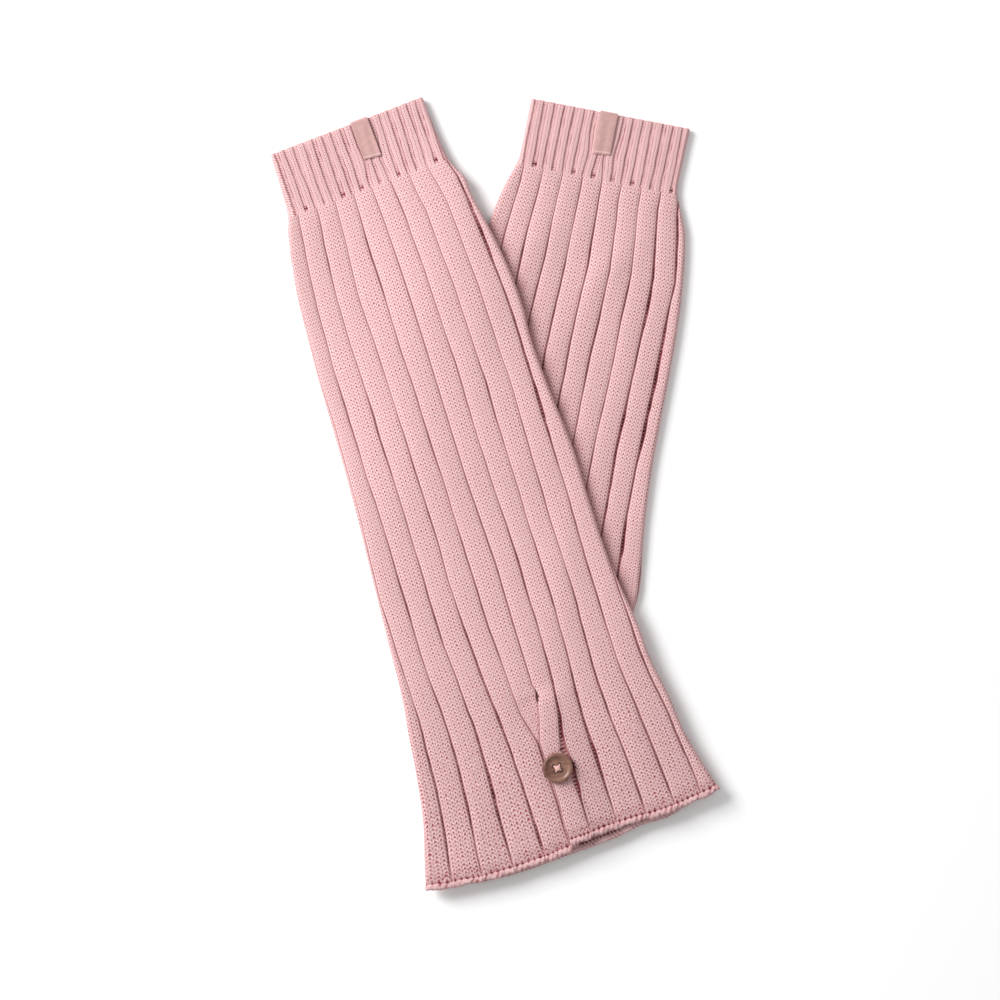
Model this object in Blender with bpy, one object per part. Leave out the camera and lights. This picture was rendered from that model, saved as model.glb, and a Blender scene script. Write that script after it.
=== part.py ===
"""A pair of rib-knit leg warmers, laid flat and crossed, one on top of the other.

Each leg warmer is one knitted tube, pressed flat: a plain back wall on the surface, a narrow
slot, and a ribbed front wall, with a rounded fold along each side. A short cuff with narrow
ribs sits above a long flared body with wide ribs. The upper leg warmer has a vent that opens
from its hem, where one rib laps over the next and a four-hole button holds them together.

All lengths below are millimetres, and MM turns them into metres when a mesh is made.
Frame: +Z up from the surface, +Y towards the cuffs, +X to the right, origin on the surface
under the middle of the pair.
On each leg warmer, "along" runs down its centre line from the cuff's edge, and "across" runs
over its width, positive to the right.
"""
import math
from collections import namedtuple

import bmesh
import bpy
from mathutils import Matrix, Vector

MM = 0.001
GAP = 0.3                # clearance between pieces that touch

# Walls of the flattened tube
BACK_WALL = 1.8          # plain wall that lies on the surface
SLOT = 0.6               # gap between the back wall and the front wall
GROOVE_WALL = 1.0        # front wall at the bottom of a groove
RIB_RISE = 1.3           # how far a body rib stands above its grooves
CUFF_RISE = 1.1          # how far a cuff rib stands above its grooves
HEM_RISE = 1.0           # thickness that the bound-off edge adds
FOLD_WALL = 1.8          # wall around a side fold
SHOULDER = 0.2           # part of a rib's width taken by the slope on each side
FLAT_LEVEL = 0.45        # height of ribs that a finish or a fold presses flat, 1 is a full rib
FOLD_STEP = 0.3          # least spacing of columns that crowd at a fold
FOLD_FADE = 3.0          # distance over which a rib dies away as it rolls round a fold

FLAT_HEIGHT = BACK_WALL + SLOT + GROOVE_WALL + RIB_RISE

# Lengths
LENGTH = 402.0           # the upper leg warmer, from its cuff's edge to its hem
HIDDEN_LENGTH = 388.0    # the lower one, which lies slightly gathered where it is covered
CUFF_LENGTH = 36.0
BEYOND = 1.5             # how far past a side fold the last rib's far groove is set

# Draping of the upper leg warmer over the lower one
DRAPE_START = 4.0        # the cloth leaves its full height this far outside the lower outline
DRAPE_RUN = 52.0         # and reaches the surface over this distance

# Mesh density
BACK_COLUMNS = 12
BODY_ROW = 15.0          # spacing of the rings down a plain body
FOLD_ANGLES = (90.0, 140.0)

# Vent and button
VENT_TOP = 316.0                   # the groove is whole down to here and open below
VENT_LIFT = BACK_WALL + GAP        # rise of the rib that laps over the button band
BAND_FLAT = 0.35                   # height of the pressed button band, 1 is a full rib
LAP_SHARE = (1.0, 1.0, 1.0, 1.0, 0.45, 0.1)   # part of the rise on each column of the lap
BUTTON_ALONG = 362.0
BUTTON_ACROSS = 3.0
BUTTON_RADIUS = 8.15
BUTTON_THICKNESS = 2.4
BUTTON_RECESS_RADIUS = 5.6
BUTTON_RECESS = 0.7
BUTTON_EDGE = 0.6                  # rounding of the button's rim
HOLE_RADIUS = 0.9
HOLE_OFFSET = 1.65                 # from the button's middle, along each of its axes
HOLE_COUNT = 4
ROUND_SEGMENTS = 40
HOLE_SEGMENTS = 12

# Label tape, folded over the cuff's edge
LABEL_WIDTH = 9.7
LABEL_WALL = 0.6
LABEL_BEND = 0.6                   # inner radius of the tape's bend over the edge
LABEL_BEND_STEPS = 3
LABEL_DROP = 1.6                   # how far the tape goes down in front of the edge

Section = namedtuple("Section", "along left right lean")
Turn = namedtuple("Turn", "along heading")
Finish = namedtuple("Finish", "before_end rib bead")
Lie = namedtuple("Lie", "start_x start_y length turns sections")
Even = namedtuple("Even", "along middle pitch")
VentRow = namedtuple("VentRow", "along g1 g2 g3 g4 g5 band lap g7 g8 g9 g10 g11 lift")
Label = namedtuple("Label", "name lie middle_top middle_end length reach")
HemEdge = namedtuple("HemEdge", "across front back")
Surface = namedtuple("Surface", "color roughness")

# Half widths to each side of the centre line, and how far the ring leans: the fall of its
# left end along the tube for each millimetre across.
UPPER_SECTIONS = (
    Section(0.0, 44.0, 43.5, 0.055),
    Section(20.0, 44.3, 44.7, 0.05),
    Section(36.0, 45.4, 46.4, 0.045),
    Section(42.0, 47.4, 48.9, 0.043),
    Section(48.0, 48.8, 51.8, 0.04),
    Section(57.0, 50.5, 52.4, 0.032),
    Section(79.0, 53.4, 56.6, 0.015),
    Section(101.0, 54.8, 59.6, 0.005),
    Section(122.0, 56.0, 60.4, 0.0),
    Section(139.0, 56.4, 59.3, 0.0),
    Section(167.0, 57.0, 60.4, 0.0),
    Section(202.0, 58.5, 63.0, 0.0),
    Section(234.0, 60.6, 62.6, 0.0),
    Section(267.0, 62.8, 63.4, 0.0),
    Section(302.0, 65.0, 67.3, 0.0),
    Section(322.0, 67.8, 68.2, 0.0),
    Section(343.0, 70.2, 71.4, 0.0),
    Section(365.0, 74.0, 73.6, 0.0),
    Section(386.0, 80.1, 78.2, 0.0),
    Section(402.0, 84.5, 82.6, 0.0),
)
LOWER_SECTIONS = (
    Section(0.0, 43.6, 43.6, 0.0),
    Section(18.0, 43.6, 43.0, 0.0),
    Section(30.0, 43.9, 42.9, 0.0),
    Section(36.0, 44.9, 43.7, 0.0),
    Section(45.0, 47.6, 47.4, 0.0),
    Section(56.0, 50.4, 51.6, 0.0),
    Section(77.0, 53.6, 55.0, 0.0),
    Section(99.0, 56.0, 57.1, 0.0),
    Section(121.0, 57.2, 58.0, 0.0),
    Section(150.0, 57.8, 58.5, 0.0),
    Section(180.0, 58.2, 59.1, 0.0),
    Section(207.0, 59.7, 61.0, 0.0),
    Section(232.0, 62.0, 63.6, 0.0),
    Section(252.0, 62.4, 64.8, 0.0),
    Section(275.0, 61.0, 62.2, 0.0),
    Section(300.0, 61.4, 60.2, 0.0),
    Section(330.0, 64.5, 61.5, 0.0),
    Section(360.0, 69.0, 66.0, 0.0),
    Section(388.0, 71.0, 69.0, 0.0),
)
# Heading of the centre line, in degrees from straight down, positive towards +X
UPPER_TURNS = (Turn(0.0, 17.7), Turn(LENGTH, 17.7))
LOWER_TURNS = (
    Turn(0.0, -10.9),
    Turn(205.0, -11.6),
    Turn(235.0, -10.0),
    Turn(262.0, -4.0),
    Turn(290.0, 7.0),
    Turn(318.0, 17.0),
    Turn(345.0, 20.5),
    Turn(HIDDEN_LENGTH, 19.5),
)
UPPER_LIE = Lie(-79.48, 197.57, LENGTH, UPPER_TURNS, UPPER_SECTIONS)
LOWER_LIE = Lie(62.02, 203.87, HIDDEN_LENGTH, LOWER_TURNS, LOWER_SECTIONS)

# Grooves between the wide ribs of the upper body, across its front. The band is the right edge
# of the button band and the lap is the left edge of the rib over it: one groove above the vent,
# two free edges below it. The lift is the part of the vent's full rise that the lap has there.
VENT_ROWS = (
    VentRow(36.0, -46.0, -39.5, -29.0, -18.4, -7.8, 2.7, 2.7, 13.2, 23.8, 34.5, 45.6, 49.0, 0.0),
    VentRow(46.0, -48.5, -41.0, -29.5, -18.8, -7.8, 3.1, 3.1, 14.2, 24.7, 36.8, 48.3, 53.5, 0.0),
    VentRow(57.0, -52.0, -42.2, -30.8, -19.4, -8.2, 3.6, 3.6, 15.4, 26.9, 38.8, 49.8, 56.0, 0.0),
    VentRow(88.0, -53.5, -44.6, -33.4, -21.7, -8.6, 4.2, 4.2, 16.2, 28.0, 40.3, 52.4, 59.5, 0.0),
    VentRow(120.0, -55.2, -46.4, -34.0, -21.6, -9.1, 4.2, 4.2, 16.3, 28.8, 41.5, 53.6, 61.5, 0.0),
    VentRow(152.0, -55.2, -47.0, -33.5, -20.9, -8.4, 3.9, 3.9, 16.8, 29.4, 41.8, 53.8, 62.0, 0.0),
    VentRow(200.0, -57.1, -46.6, -34.0, -21.3, -8.9, 3.4, 3.4, 15.8, 28.1, 40.5, 52.8, 63.2, 0.0),
    VentRow(249.0, -60.2, -47.8, -34.8, -22.0, -9.0, 4.6, 4.6, 16.6, 28.0, 39.8, 51.9, 63.8, 0.0),
    VentRow(281.0, -60.2, -48.1, -35.0, -21.8, -9.2, 3.8, 3.8, 16.2, 27.6, 39.3, 51.2, 63.6, 0.0),
    VentRow(316.0, -60.0, -47.3, -33.7, -20.3, -8.2, 3.5, 3.5, 14.4, 25.5, 37.7, 50.8, 63.9, 0.0),
    VentRow(319.0, -60.1, -47.3, -33.6, -20.1, -8.0, 3.0, 4.0, 14.2, 25.3, 37.7, 50.9, 64.1, 0.3),
    VentRow(322.0, -60.2, -47.2, -33.4, -19.8, -7.8, 3.0, 4.3, 14.0, 25.1, 37.7, 51.0, 64.3, 0.75),
    VentRow(325.0, -60.4, -47.2, -33.2, -19.5, -7.5, 3.2, 4.0, 13.7, 24.9, 37.7, 51.2, 64.5, 1.0),
    VentRow(329.0, -60.7, -47.2, -33.0, -19.3, -7.1, 4.0, 3.3, 13.3, 24.7, 37.8, 51.5, 64.8, 1.0),
    VentRow(336.0, -61.0, -47.4, -33.0, -18.8, -5.4, 5.0, 1.0, 12.4, 24.5, 38.0, 52.3, 65.8, 1.0),
    VentRow(348.0, -61.8, -47.8, -33.3, -18.1, -2.8, 6.0, -2.0, 10.6, 24.4, 38.4, 53.5, 67.5, 1.0),
    VentRow(362.0, -63.5, -49.0, -33.9, -17.5, -2.8, 5.6, -1.9, 10.3, 24.3, 39.2, 54.8, 69.1, 1.0),
    VentRow(378.0, -66.0, -50.7, -35.0, -17.9, -2.9, 4.6, -2.0, 10.2, 24.4, 40.0, 55.7, 71.0, 1.0),
    VentRow(390.0, -68.2, -52.0, -35.5, -18.1, -3.6, 3.0, -2.8, 9.6, 24.4, 40.5, 56.3, 71.8, 1.0),
    VentRow(402.0, -69.8, -53.2, -35.8, -18.2, -3.4, 1.5, -2.6, 9.2, 24.0, 40.7, 56.8, 72.0, 1.0),
)
# Even ribs: the middle groove's place across, and the pitch of the grooves
LOWER_RIBS = (
    Even(36.0, 2.4, 10.7),
    Even(46.0, 2.3, 10.8),
    Even(57.0, 2.7, 11.2),
    Even(82.0, 3.6, 11.9),
    Even(135.0, 2.6, 12.2),
    Even(180.0, 2.5, 12.0),
    Even(230.0, 3.2, 12.2),
    Even(300.0, 1.0, 12.6),
    Even(HIDDEN_LENGTH, 0.0, 13.6),
)
UPPER_CUFF_RIBS = (Even(0.0, 2.2, 5.4), Even(CUFF_LENGTH, 2.7, 5.3))
LOWER_CUFF_RIBS = (Even(0.0, 2.6, 5.38), Even(CUFF_LENGTH, 2.4, 5.34))
LOWER_RIB_REACH = 5      # grooves on each side of the middle one
CUFF_RIB_REACH = 8

# How the ribs end: distance before the end, height of the ribs and of the bound-off edge
HEM_FINISH = (
    Finish(12.0, 1.0, 0.0),
    Finish(6.0, 0.7, 0.0),
    Finish(3.4, 0.1, 0.0),
    Finish(2.6, 0.0, 0.8),
    Finish(0.6, 0.0, 0.8),
    Finish(0.0, 0.0, 0.2),
)
BODY_START = (Finish(0.0, 0.5, 0.0), Finish(3.0, 0.9, 0.0), Finish(8.0, 1.0, 0.0))
CUFF_ROWS = (
    Finish(0.0, 0.6, 0.0),
    Finish(1.5, 1.0, 0.0),
    Finish(12.0, 1.0, 0.0),
    Finish(23.0, 1.0, 0.0),
    Finish(32.5, 1.0, 0.0),
    Finish(CUFF_LENGTH, 0.7, 0.0),
)

# Upper hem: place across, and how far the front and the back wall reach past the length there,
# on each side of the vent
LEFT_HEM = (
    HemEdge(-84.0, 2.1, 2.0),
    HemEdge(-69.0, 4.5, 4.4),
    HemEdge(-50.0, 6.7, 6.9),
    HemEdge(-33.0, 7.0, 8.2),
    HemEdge(-18.0, 6.6, 7.6),
    HemEdge(-5.0, 5.6, 6.8),
    HemEdge(0.0, 3.6, 6.7),
)
RIGHT_HEM = (
    HemEdge(-5.0, 2.2, 6.8),
    HemEdge(3.5, 1.9, 6.7),
    HemEdge(19.0, 1.0, 5.8),
    HemEdge(36.0, 1.0, 3.4),
    HemEdge(44.0, 1.6, 1.8),
    HemEdge(51.0, 1.6, 3.8),
    HemEdge(60.0, 1.0, 1.4),
    HemEdge(68.0, 0.0, 0.0),
    HemEdge(77.0, -0.9, -0.9),
    HemEdge(82.0, -3.0, -3.0),
)
HEM_RUN = 60.0           # length over which the walls take up these differences

# Labels: middle of the tape at the cuff's edge and at its lower end, its length down the cuff,
# and how far its fold stands past the cuff's edge
UPPER_LABEL = Label("upper_label", UPPER_LIE, 6.9, 8.0, 20.9, 1.1)
LOWER_LABEL = Label("lower_label", LOWER_LIE, -0.8, -0.8, 22.2, 0.95)

# Colours, as linear values, and finish of each material
KNIT = Surface((0.76, 0.47, 0.47), 0.9)
TAPE = Surface((0.68, 0.36, 0.35), 0.7)
HORN = Surface((0.28, 0.15, 0.11), 0.4)


def column_of(rows, name, along):
    """One named column of a table at a distance along, on a smooth curve through its rows."""
    first = rows[0]
    if along <= first.along:
        return getattr(first, name)
    for index in range(len(rows) - 1):
        before = rows[index]
        after = rows[index + 1]
        if along <= after.along:
            break
    else:
        return getattr(rows[-1], name)
    low = rows[max(index - 1, 0)]
    high = rows[min(index + 2, len(rows) - 1)]
    span = after.along - before.along
    part = (along - before.along) / span
    value_before = getattr(before, name)
    value_after = getattr(after, name)
    slope_before = (value_after - getattr(low, name)) / (after.along - low.along) * span
    slope_after = (getattr(high, name) - value_before) / (high.along - before.along) * span
    square = part * part
    cube = square * part
    return ((2.0 * cube - 3.0 * square + 1.0) * value_before
            + (cube - 2.0 * square + part) * slope_before
            + (3.0 * square - 2.0 * cube) * value_after
            + (cube - square) * slope_after)


def straight_between(rows, name, along):
    """One named column of a table at a distance along, straight from row to row."""
    if along <= rows[0].along:
        return getattr(rows[0], name)
    for before, after in zip(rows, rows[1:]):
        if along <= after.along:
            part = (along - before.along) / (after.along - before.along)
            return getattr(before, name) * (1.0 - part) + getattr(after, name) * part
    return getattr(rows[-1], name)


def soft_step(part):
    """Smooth rise from 0 to 1 as part goes from 0 to 1."""
    part = min(max(part, 0.0), 1.0)
    return part * part * (3.0 - 2.0 * part)


class FlatTube:
    """Where one leg warmer lies: its centre line on the surface and its width.

    The centre line is stepped off from its headings, and a place on it is given by the distance
    along it and across it.
    """

    STEP = 2.0

    def __init__(self, lie):
        self.lie = lie
        self.points = []
        x = lie.start_x
        y = lie.start_y
        steps = int(math.ceil(lie.length / self.STEP)) + 4
        for index in range(steps):
            heading = self.heading(index * self.STEP)
            self.points.append((x, y, heading))
            middle = self.heading((index + 0.5) * self.STEP)
            x += math.sin(middle) * self.STEP
            y -= math.cos(middle) * self.STEP

    def heading(self, along):
        return math.radians(column_of(self.lie.turns, "heading", along))

    def half_width(self, side, along):
        return column_of(self.lie.sections, side, along)

    def place(self, along, across):
        """Point on the surface at a distance along and across."""
        lean = column_of(self.lie.sections, "lean", along)
        position = (along - lean * across) / self.STEP
        index = min(max(int(math.floor(position)), 0), len(self.points) - 2)
        x, y, heading = self.points[index]
        run = (position - index) * self.STEP
        heading = self.heading(max(position * self.STEP, 0.0))
        middle = 0.5 * (heading + self.points[index][2])
        return (x + math.sin(middle) * run + math.cos(heading) * across,
                y - math.cos(middle) * run + math.sin(heading) * across)

    def outside(self, x, y):
        """How far a point on the surface lies outside the outline, negative inside it."""
        nearest = min(range(len(self.points)),
                      key=lambda index: (self.points[index][0] - x) ** 2
                      + (self.points[index][1] - y) ** 2)
        centre_x, centre_y, heading = self.points[nearest]
        across = (x - centre_x) * math.cos(heading) + (y - centre_y) * math.sin(heading)
        beyond = (x - centre_x) * math.sin(heading) - (y - centre_y) * math.cos(heading)
        along = nearest * self.STEP + beyond
        left = self.half_width("left", along)
        right = self.half_width("right", along)
        return max(across - right, -left - across, -along, along - self.lie.length)


LOWER = FlatTube(LOWER_LIE)
UPPER = FlatTube(UPPER_LIE)


def resting_height(tube, x, y):
    """Height of the surface under a leg warmer: the upper one drapes over the lower one."""
    if tube is LOWER:
        return 0.0
    away = LOWER.outside(x, y) - DRAPE_START
    return (FLAT_HEIGHT + GAP) * (1.0 - soft_step(away / DRAPE_RUN))


def ridge_columns(grooves):
    """Place across and height of each column over the ribs between these grooves."""
    columns = []
    for start, end in zip(grooves, grooves[1:]):
        slope = SHOULDER * (end - start)
        columns.append((start, 0.0))
        columns.append((start + slope, 1.0))
        columns.append((end - slope, 1.0))
    columns.append((grooves[-1], 0.0))
    return columns


def loop_point(tube, along, across, turn, wall, lift):
    """Inner and outer point of a wall that the fold has turned by an angle from the top.

    across is where the fold's circle is centred, or the point itself on a flat stretch, and a
    negative turn rolls to the left.
    """
    inner_radius = SLOT / 2.0
    middle = BACK_WALL + inner_radius
    points = []
    for radius in (inner_radius, inner_radius + wall):
        place = across + radius * math.sin(turn)
        x, y = tube.place(along, place)
        height = middle + radius * math.cos(turn)
        points.append((x, y, height + lift + resting_height(tube, x, y)))
    return points


def front_column(tube, along, column, order, count, rise, finish, side):
    """One column of the front wall, rolled round the fold where it comes near the side."""
    across, height = column
    sign = 1.0 if side == "right" else -1.0
    half = tube.half_width(side, along)
    limit = half - FOLD_STEP * (count - order)
    reach = min(across * sign, limit)
    pushed = across * sign - reach
    flat_end = half - SLOT / 2.0 - FOLD_WALL
    kept = max(0.0, 1.0 - pushed / FOLD_FADE)
    height = FLAT_LEVEL + (height - FLAT_LEVEL) * kept * finish.rib
    wall = GROOVE_WALL + rise * height + HEM_RISE * finish.bead
    if reach <= flat_end:
        return reach * sign, 0.0, wall
    turn = math.asin(min((reach - flat_end) / (half - flat_end), 1.0))
    wall = FOLD_WALL + (wall - FOLD_WALL) * math.cos(turn)
    return flat_end * sign, turn * sign, wall


def hem_extra(rows, wall, across, along):
    """How much longer a wall of the upper body is than its length, near its hem."""
    start = LENGTH - HEM_RUN
    if along <= start:
        return 0.0
    inside = min(max(across, rows[0].across), rows[-1].across)
    for before, after in zip(rows, rows[1:]):
        if inside <= after.across:
            break
    part = soft_step((inside - before.across) / (after.across - before.across))
    extra = getattr(before, wall) * (1.0 - part) + getattr(after, wall) * part
    return extra * soft_step((along - start) / HEM_RUN)


def ring(tube, along, finish, grooves, rise, lap_lift=0.0, vented=False):
    """Inner and outer points of one ring: front right half, fold, back, fold, front left half."""
    right_grooves, left_grooves = grooves
    points = []
    right = ridge_columns(right_grooves)
    for order, column in enumerate(right):
        across, turn, wall = front_column(
            tube, along, column, order, len(right), rise, finish, "right")
        share = LAP_SHARE[order] if order < len(LAP_SHARE) else 0.0
        extra = hem_extra(RIGHT_HEM, "front", across, along) if vented else 0.0
        points.append(loop_point(tube, along + extra, across, turn, wall, lap_lift * share))
    right_end = tube.half_width("right", along) - SLOT / 2.0 - FOLD_WALL
    left_end = tube.half_width("left", along) - SLOT / 2.0 - FOLD_WALL
    extra = hem_extra(RIGHT_HEM, "back", right_end, along) if vented else 0.0
    for angle in FOLD_ANGLES:
        turn = math.radians(angle)
        points.append(loop_point(tube, along + extra, right_end, turn, FOLD_WALL, 0.0))
    for index in range(BACK_COLUMNS):
        part = index / (BACK_COLUMNS - 1)
        across = right_end * (1.0 - part) - left_end * part
        rows = RIGHT_HEM if across > RIGHT_HEM[0].across else LEFT_HEM
        extra = hem_extra(rows, "back", across, along) if vented else 0.0
        points.append(loop_point(tube, along + extra, across, math.pi, BACK_WALL, 0.0))
    extra = hem_extra(LEFT_HEM, "back", -left_end, along) if vented else 0.0
    for angle in reversed(FOLD_ANGLES):
        turn = -math.radians(angle)
        points.append(loop_point(tube, along + extra, -left_end, turn, FOLD_WALL, 0.0))
    left = ridge_columns(left_grooves)
    band = range(len(left) - 3, len(left))
    for order, column in enumerate(left):
        if lap_lift > 0.0 and order in band:
            column = (column[0], min(column[1], BAND_FLAT))
        across, turn, wall = front_column(
            tube, along, column, len(left) - 1 - order, len(left), rise, finish, "left")
        extra = hem_extra(LEFT_HEM, "front", across, along) if vented else 0.0
        points.append(loop_point(tube, along + extra, across, turn, wall, 0.0))
    return points


def even_grooves(tube, ribs, along, reach):
    """Grooves at an even pitch, split at the middle one into a right and a left half."""
    middle = straight_between(ribs, "middle", along)
    pitch = straight_between(ribs, "pitch", along)
    right = [middle + pitch * index for index in range(reach + 1)]
    left = [middle - pitch * index for index in range(reach, -1, -1)]
    right.append(max(tube.half_width("right", along), right[-1]) + BEYOND)
    left.insert(0, min(-tube.half_width("left", along), left[0]) - BEYOND)
    return right, left


def vent_grooves(along):
    """Grooves of the upper body, split at the vent into a right and a left half."""
    right = [straight_between(VENT_ROWS, name, along)
             for name in ("lap", "g7", "g8", "g9", "g10", "g11")]
    left = [straight_between(VENT_ROWS, name, along)
            for name in ("g1", "g2", "g3", "g4", "g5", "band")]
    right.append(max(UPPER.half_width("right", along), right[-1]) + BEYOND)
    left.insert(0, min(-UPPER.half_width("left", along), left[0]) - BEYOND)
    return right, left


def make_material(name, finish):
    material = bpy.data.materials.new(name)
    material.use_nodes = True
    shader = material.node_tree.nodes["Principled BSDF"]
    shader.inputs["Base Color"].default_value = (*finish.color, 1.0)
    shader.inputs["Roughness"].default_value = finish.roughness
    shader.inputs["Metallic"].default_value = 0.0
    return material


def add_object(name, mesh_builder, material):
    """Turn a bmesh into a named object with one material."""
    mesh = bpy.data.meshes.new(name)
    bmesh.ops.recalc_face_normals(mesh_builder, faces=mesh_builder.faces)
    mesh_builder.to_mesh(mesh)
    mesh_builder.free()
    mesh.materials.append(material)
    mesh.shade_smooth()
    mesh.set_sharp_from_angle(angle=math.radians(50.0))
    made = bpy.data.objects.new(name, mesh)
    bpy.context.scene.collection.objects.link(made)
    return made


def knit_wall(name, rings, material):
    """A closed wall through rings of inner and outer points.

    A sheet takes the inner points, its ends are joined where they meet, and it is then
    extruded to the outer points.
    """
    columns = len(rings[0])
    builder = bmesh.new()
    bmesh.ops.create_grid(builder, x_segments=columns - 1, y_segments=len(rings) - 1, size=1.0)
    column_layer = builder.verts.layers.int.new("column")
    row_layer = builder.verts.layers.int.new("row")
    for vertex in builder.verts:
        column = round((vertex.co.x + 1.0) / 2.0 * (columns - 1))
        row = round((vertex.co.y + 1.0) / 2.0 * (len(rings) - 1))
        vertex[column_layer] = column
        vertex[row_layer] = row
        vertex.co = Vector(rings[row][column][0]) * MM
    bmesh.ops.remove_doubles(builder, verts=builder.verts, dist=0.01 * MM)
    extruded = bmesh.ops.extrude_face_region(builder, geom=builder.faces[:])
    for vertex in extruded["geom"]:
        if isinstance(vertex, bmesh.types.BMVert):
            vertex.co = Vector(rings[vertex[row_layer]][vertex[column_layer]][1]) * MM
    return add_object(name, builder, material)


def body_rows(length):
    """Distance along and finish of each ring of a plain body, from its cuff to its hem."""
    rows = [(CUFF_LENGTH + GAP + start.before_end, start) for start in BODY_START]
    hem_start = length - HEM_FINISH[0].before_end
    plain = hem_start - rows[-1][0]
    count = int(plain / BODY_ROW)
    for index in range(1, count):
        rows.append((rows[2][0] + plain * index / count, HEM_FINISH[0]))
    rows += [(length - end.before_end, end) for end in HEM_FINISH]
    return rows


def upper_body_rows():
    """The plain body's rings, with the vent's own rings where the table gives them."""
    hem_start = LENGTH - HEM_FINISH[0].before_end
    rows = [row for row in body_rows(LENGTH) if row[0] < VENT_TOP - BODY_ROW / 3.0]
    rows += [(row.along, HEM_FINISH[0]) for row in VENT_ROWS if VENT_TOP <= row.along < hem_start]
    rows += [(LENGTH - end.before_end, end) for end in HEM_FINISH]
    return rows


def make_upper_body(material):
    rings = []
    for along, finish in upper_body_rows():
        lift = VENT_LIFT * straight_between(VENT_ROWS, "lift", along)
        rings.append(ring(UPPER, along, finish, vent_grooves(along), RIB_RISE, lift, True))
    return knit_wall("upper_body", rings, material)


def make_lower_body(material):
    rings = []
    for along, finish in body_rows(HIDDEN_LENGTH):
        grooves = even_grooves(LOWER, LOWER_RIBS, along, LOWER_RIB_REACH)
        rings.append(ring(LOWER, along, finish, grooves, RIB_RISE))
    return knit_wall("lower_body", rings, material)


def make_cuff(name, tube, ribs, material):
    rings = []
    for row in CUFF_ROWS:
        grooves = even_grooves(tube, ribs, row.before_end, CUFF_RIB_REACH)
        rings.append(ring(tube, row.before_end, row, grooves, CUFF_RISE))
    return knit_wall(name, rings, material)


def label_path(label):
    """The tape's inner face as (along, height) points, from in front of the edge to its end."""
    top = BACK_WALL + SLOT + GROOVE_WALL + CUFF_RISE + GAP
    front = LABEL_WALL - label.reach
    path = [(front, top - LABEL_BEND - LABEL_DROP)]
    for index in range(LABEL_BEND_STEPS + 1):
        turn = math.pi / 2.0 * index / LABEL_BEND_STEPS
        path.append((front + LABEL_BEND * (1.0 - math.cos(turn)),
                     top - LABEL_BEND * (1.0 - math.sin(turn))))
    path += [(label.length * part, top) for part in (0.2, 0.6, 1.0)]
    return path


def make_label(label, material):
    """Tape folded over the cuff's edge: a strip of faces, thickened away from the cuff."""
    tube = UPPER if label.lie is UPPER_LIE else LOWER
    path = label_path(label)
    builder = bmesh.new()
    bmesh.ops.create_grid(builder, x_segments=2, y_segments=len(path) - 1, size=1.0)
    column_layer = builder.verts.layers.int.new("column")
    row_layer = builder.verts.layers.int.new("row")

    def tape_point(column, row, out):
        before = Vector(path[max(row - 1, 0)])
        after = Vector(path[min(row + 1, len(path) - 1)])
        run, climb = (after - before).normalized()
        along, height = path[row]
        part = max(along, 0.0) / label.length
        across = label.middle_top * (1.0 - part) + label.middle_end * part
        across += (column - 1) * LABEL_WIDTH / 2.0
        x, y = tube.place(along - climb * out, across)
        return Vector((x, y, height + run * out)) * MM

    for vertex in builder.verts:
        vertex[column_layer] = round(vertex.co.x + 1.0)
        vertex[row_layer] = round((vertex.co.y + 1.0) / 2.0 * (len(path) - 1))
        vertex.co = tape_point(vertex[column_layer], vertex[row_layer], 0.0)
    extruded = bmesh.ops.extrude_face_region(builder, geom=builder.faces[:])
    for vertex in extruded["geom"]:
        if isinstance(vertex, bmesh.types.BMVert):
            vertex.co = tape_point(vertex[column_layer], vertex[row_layer], LABEL_WALL)
    return add_object(label.name, builder, material)


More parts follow.
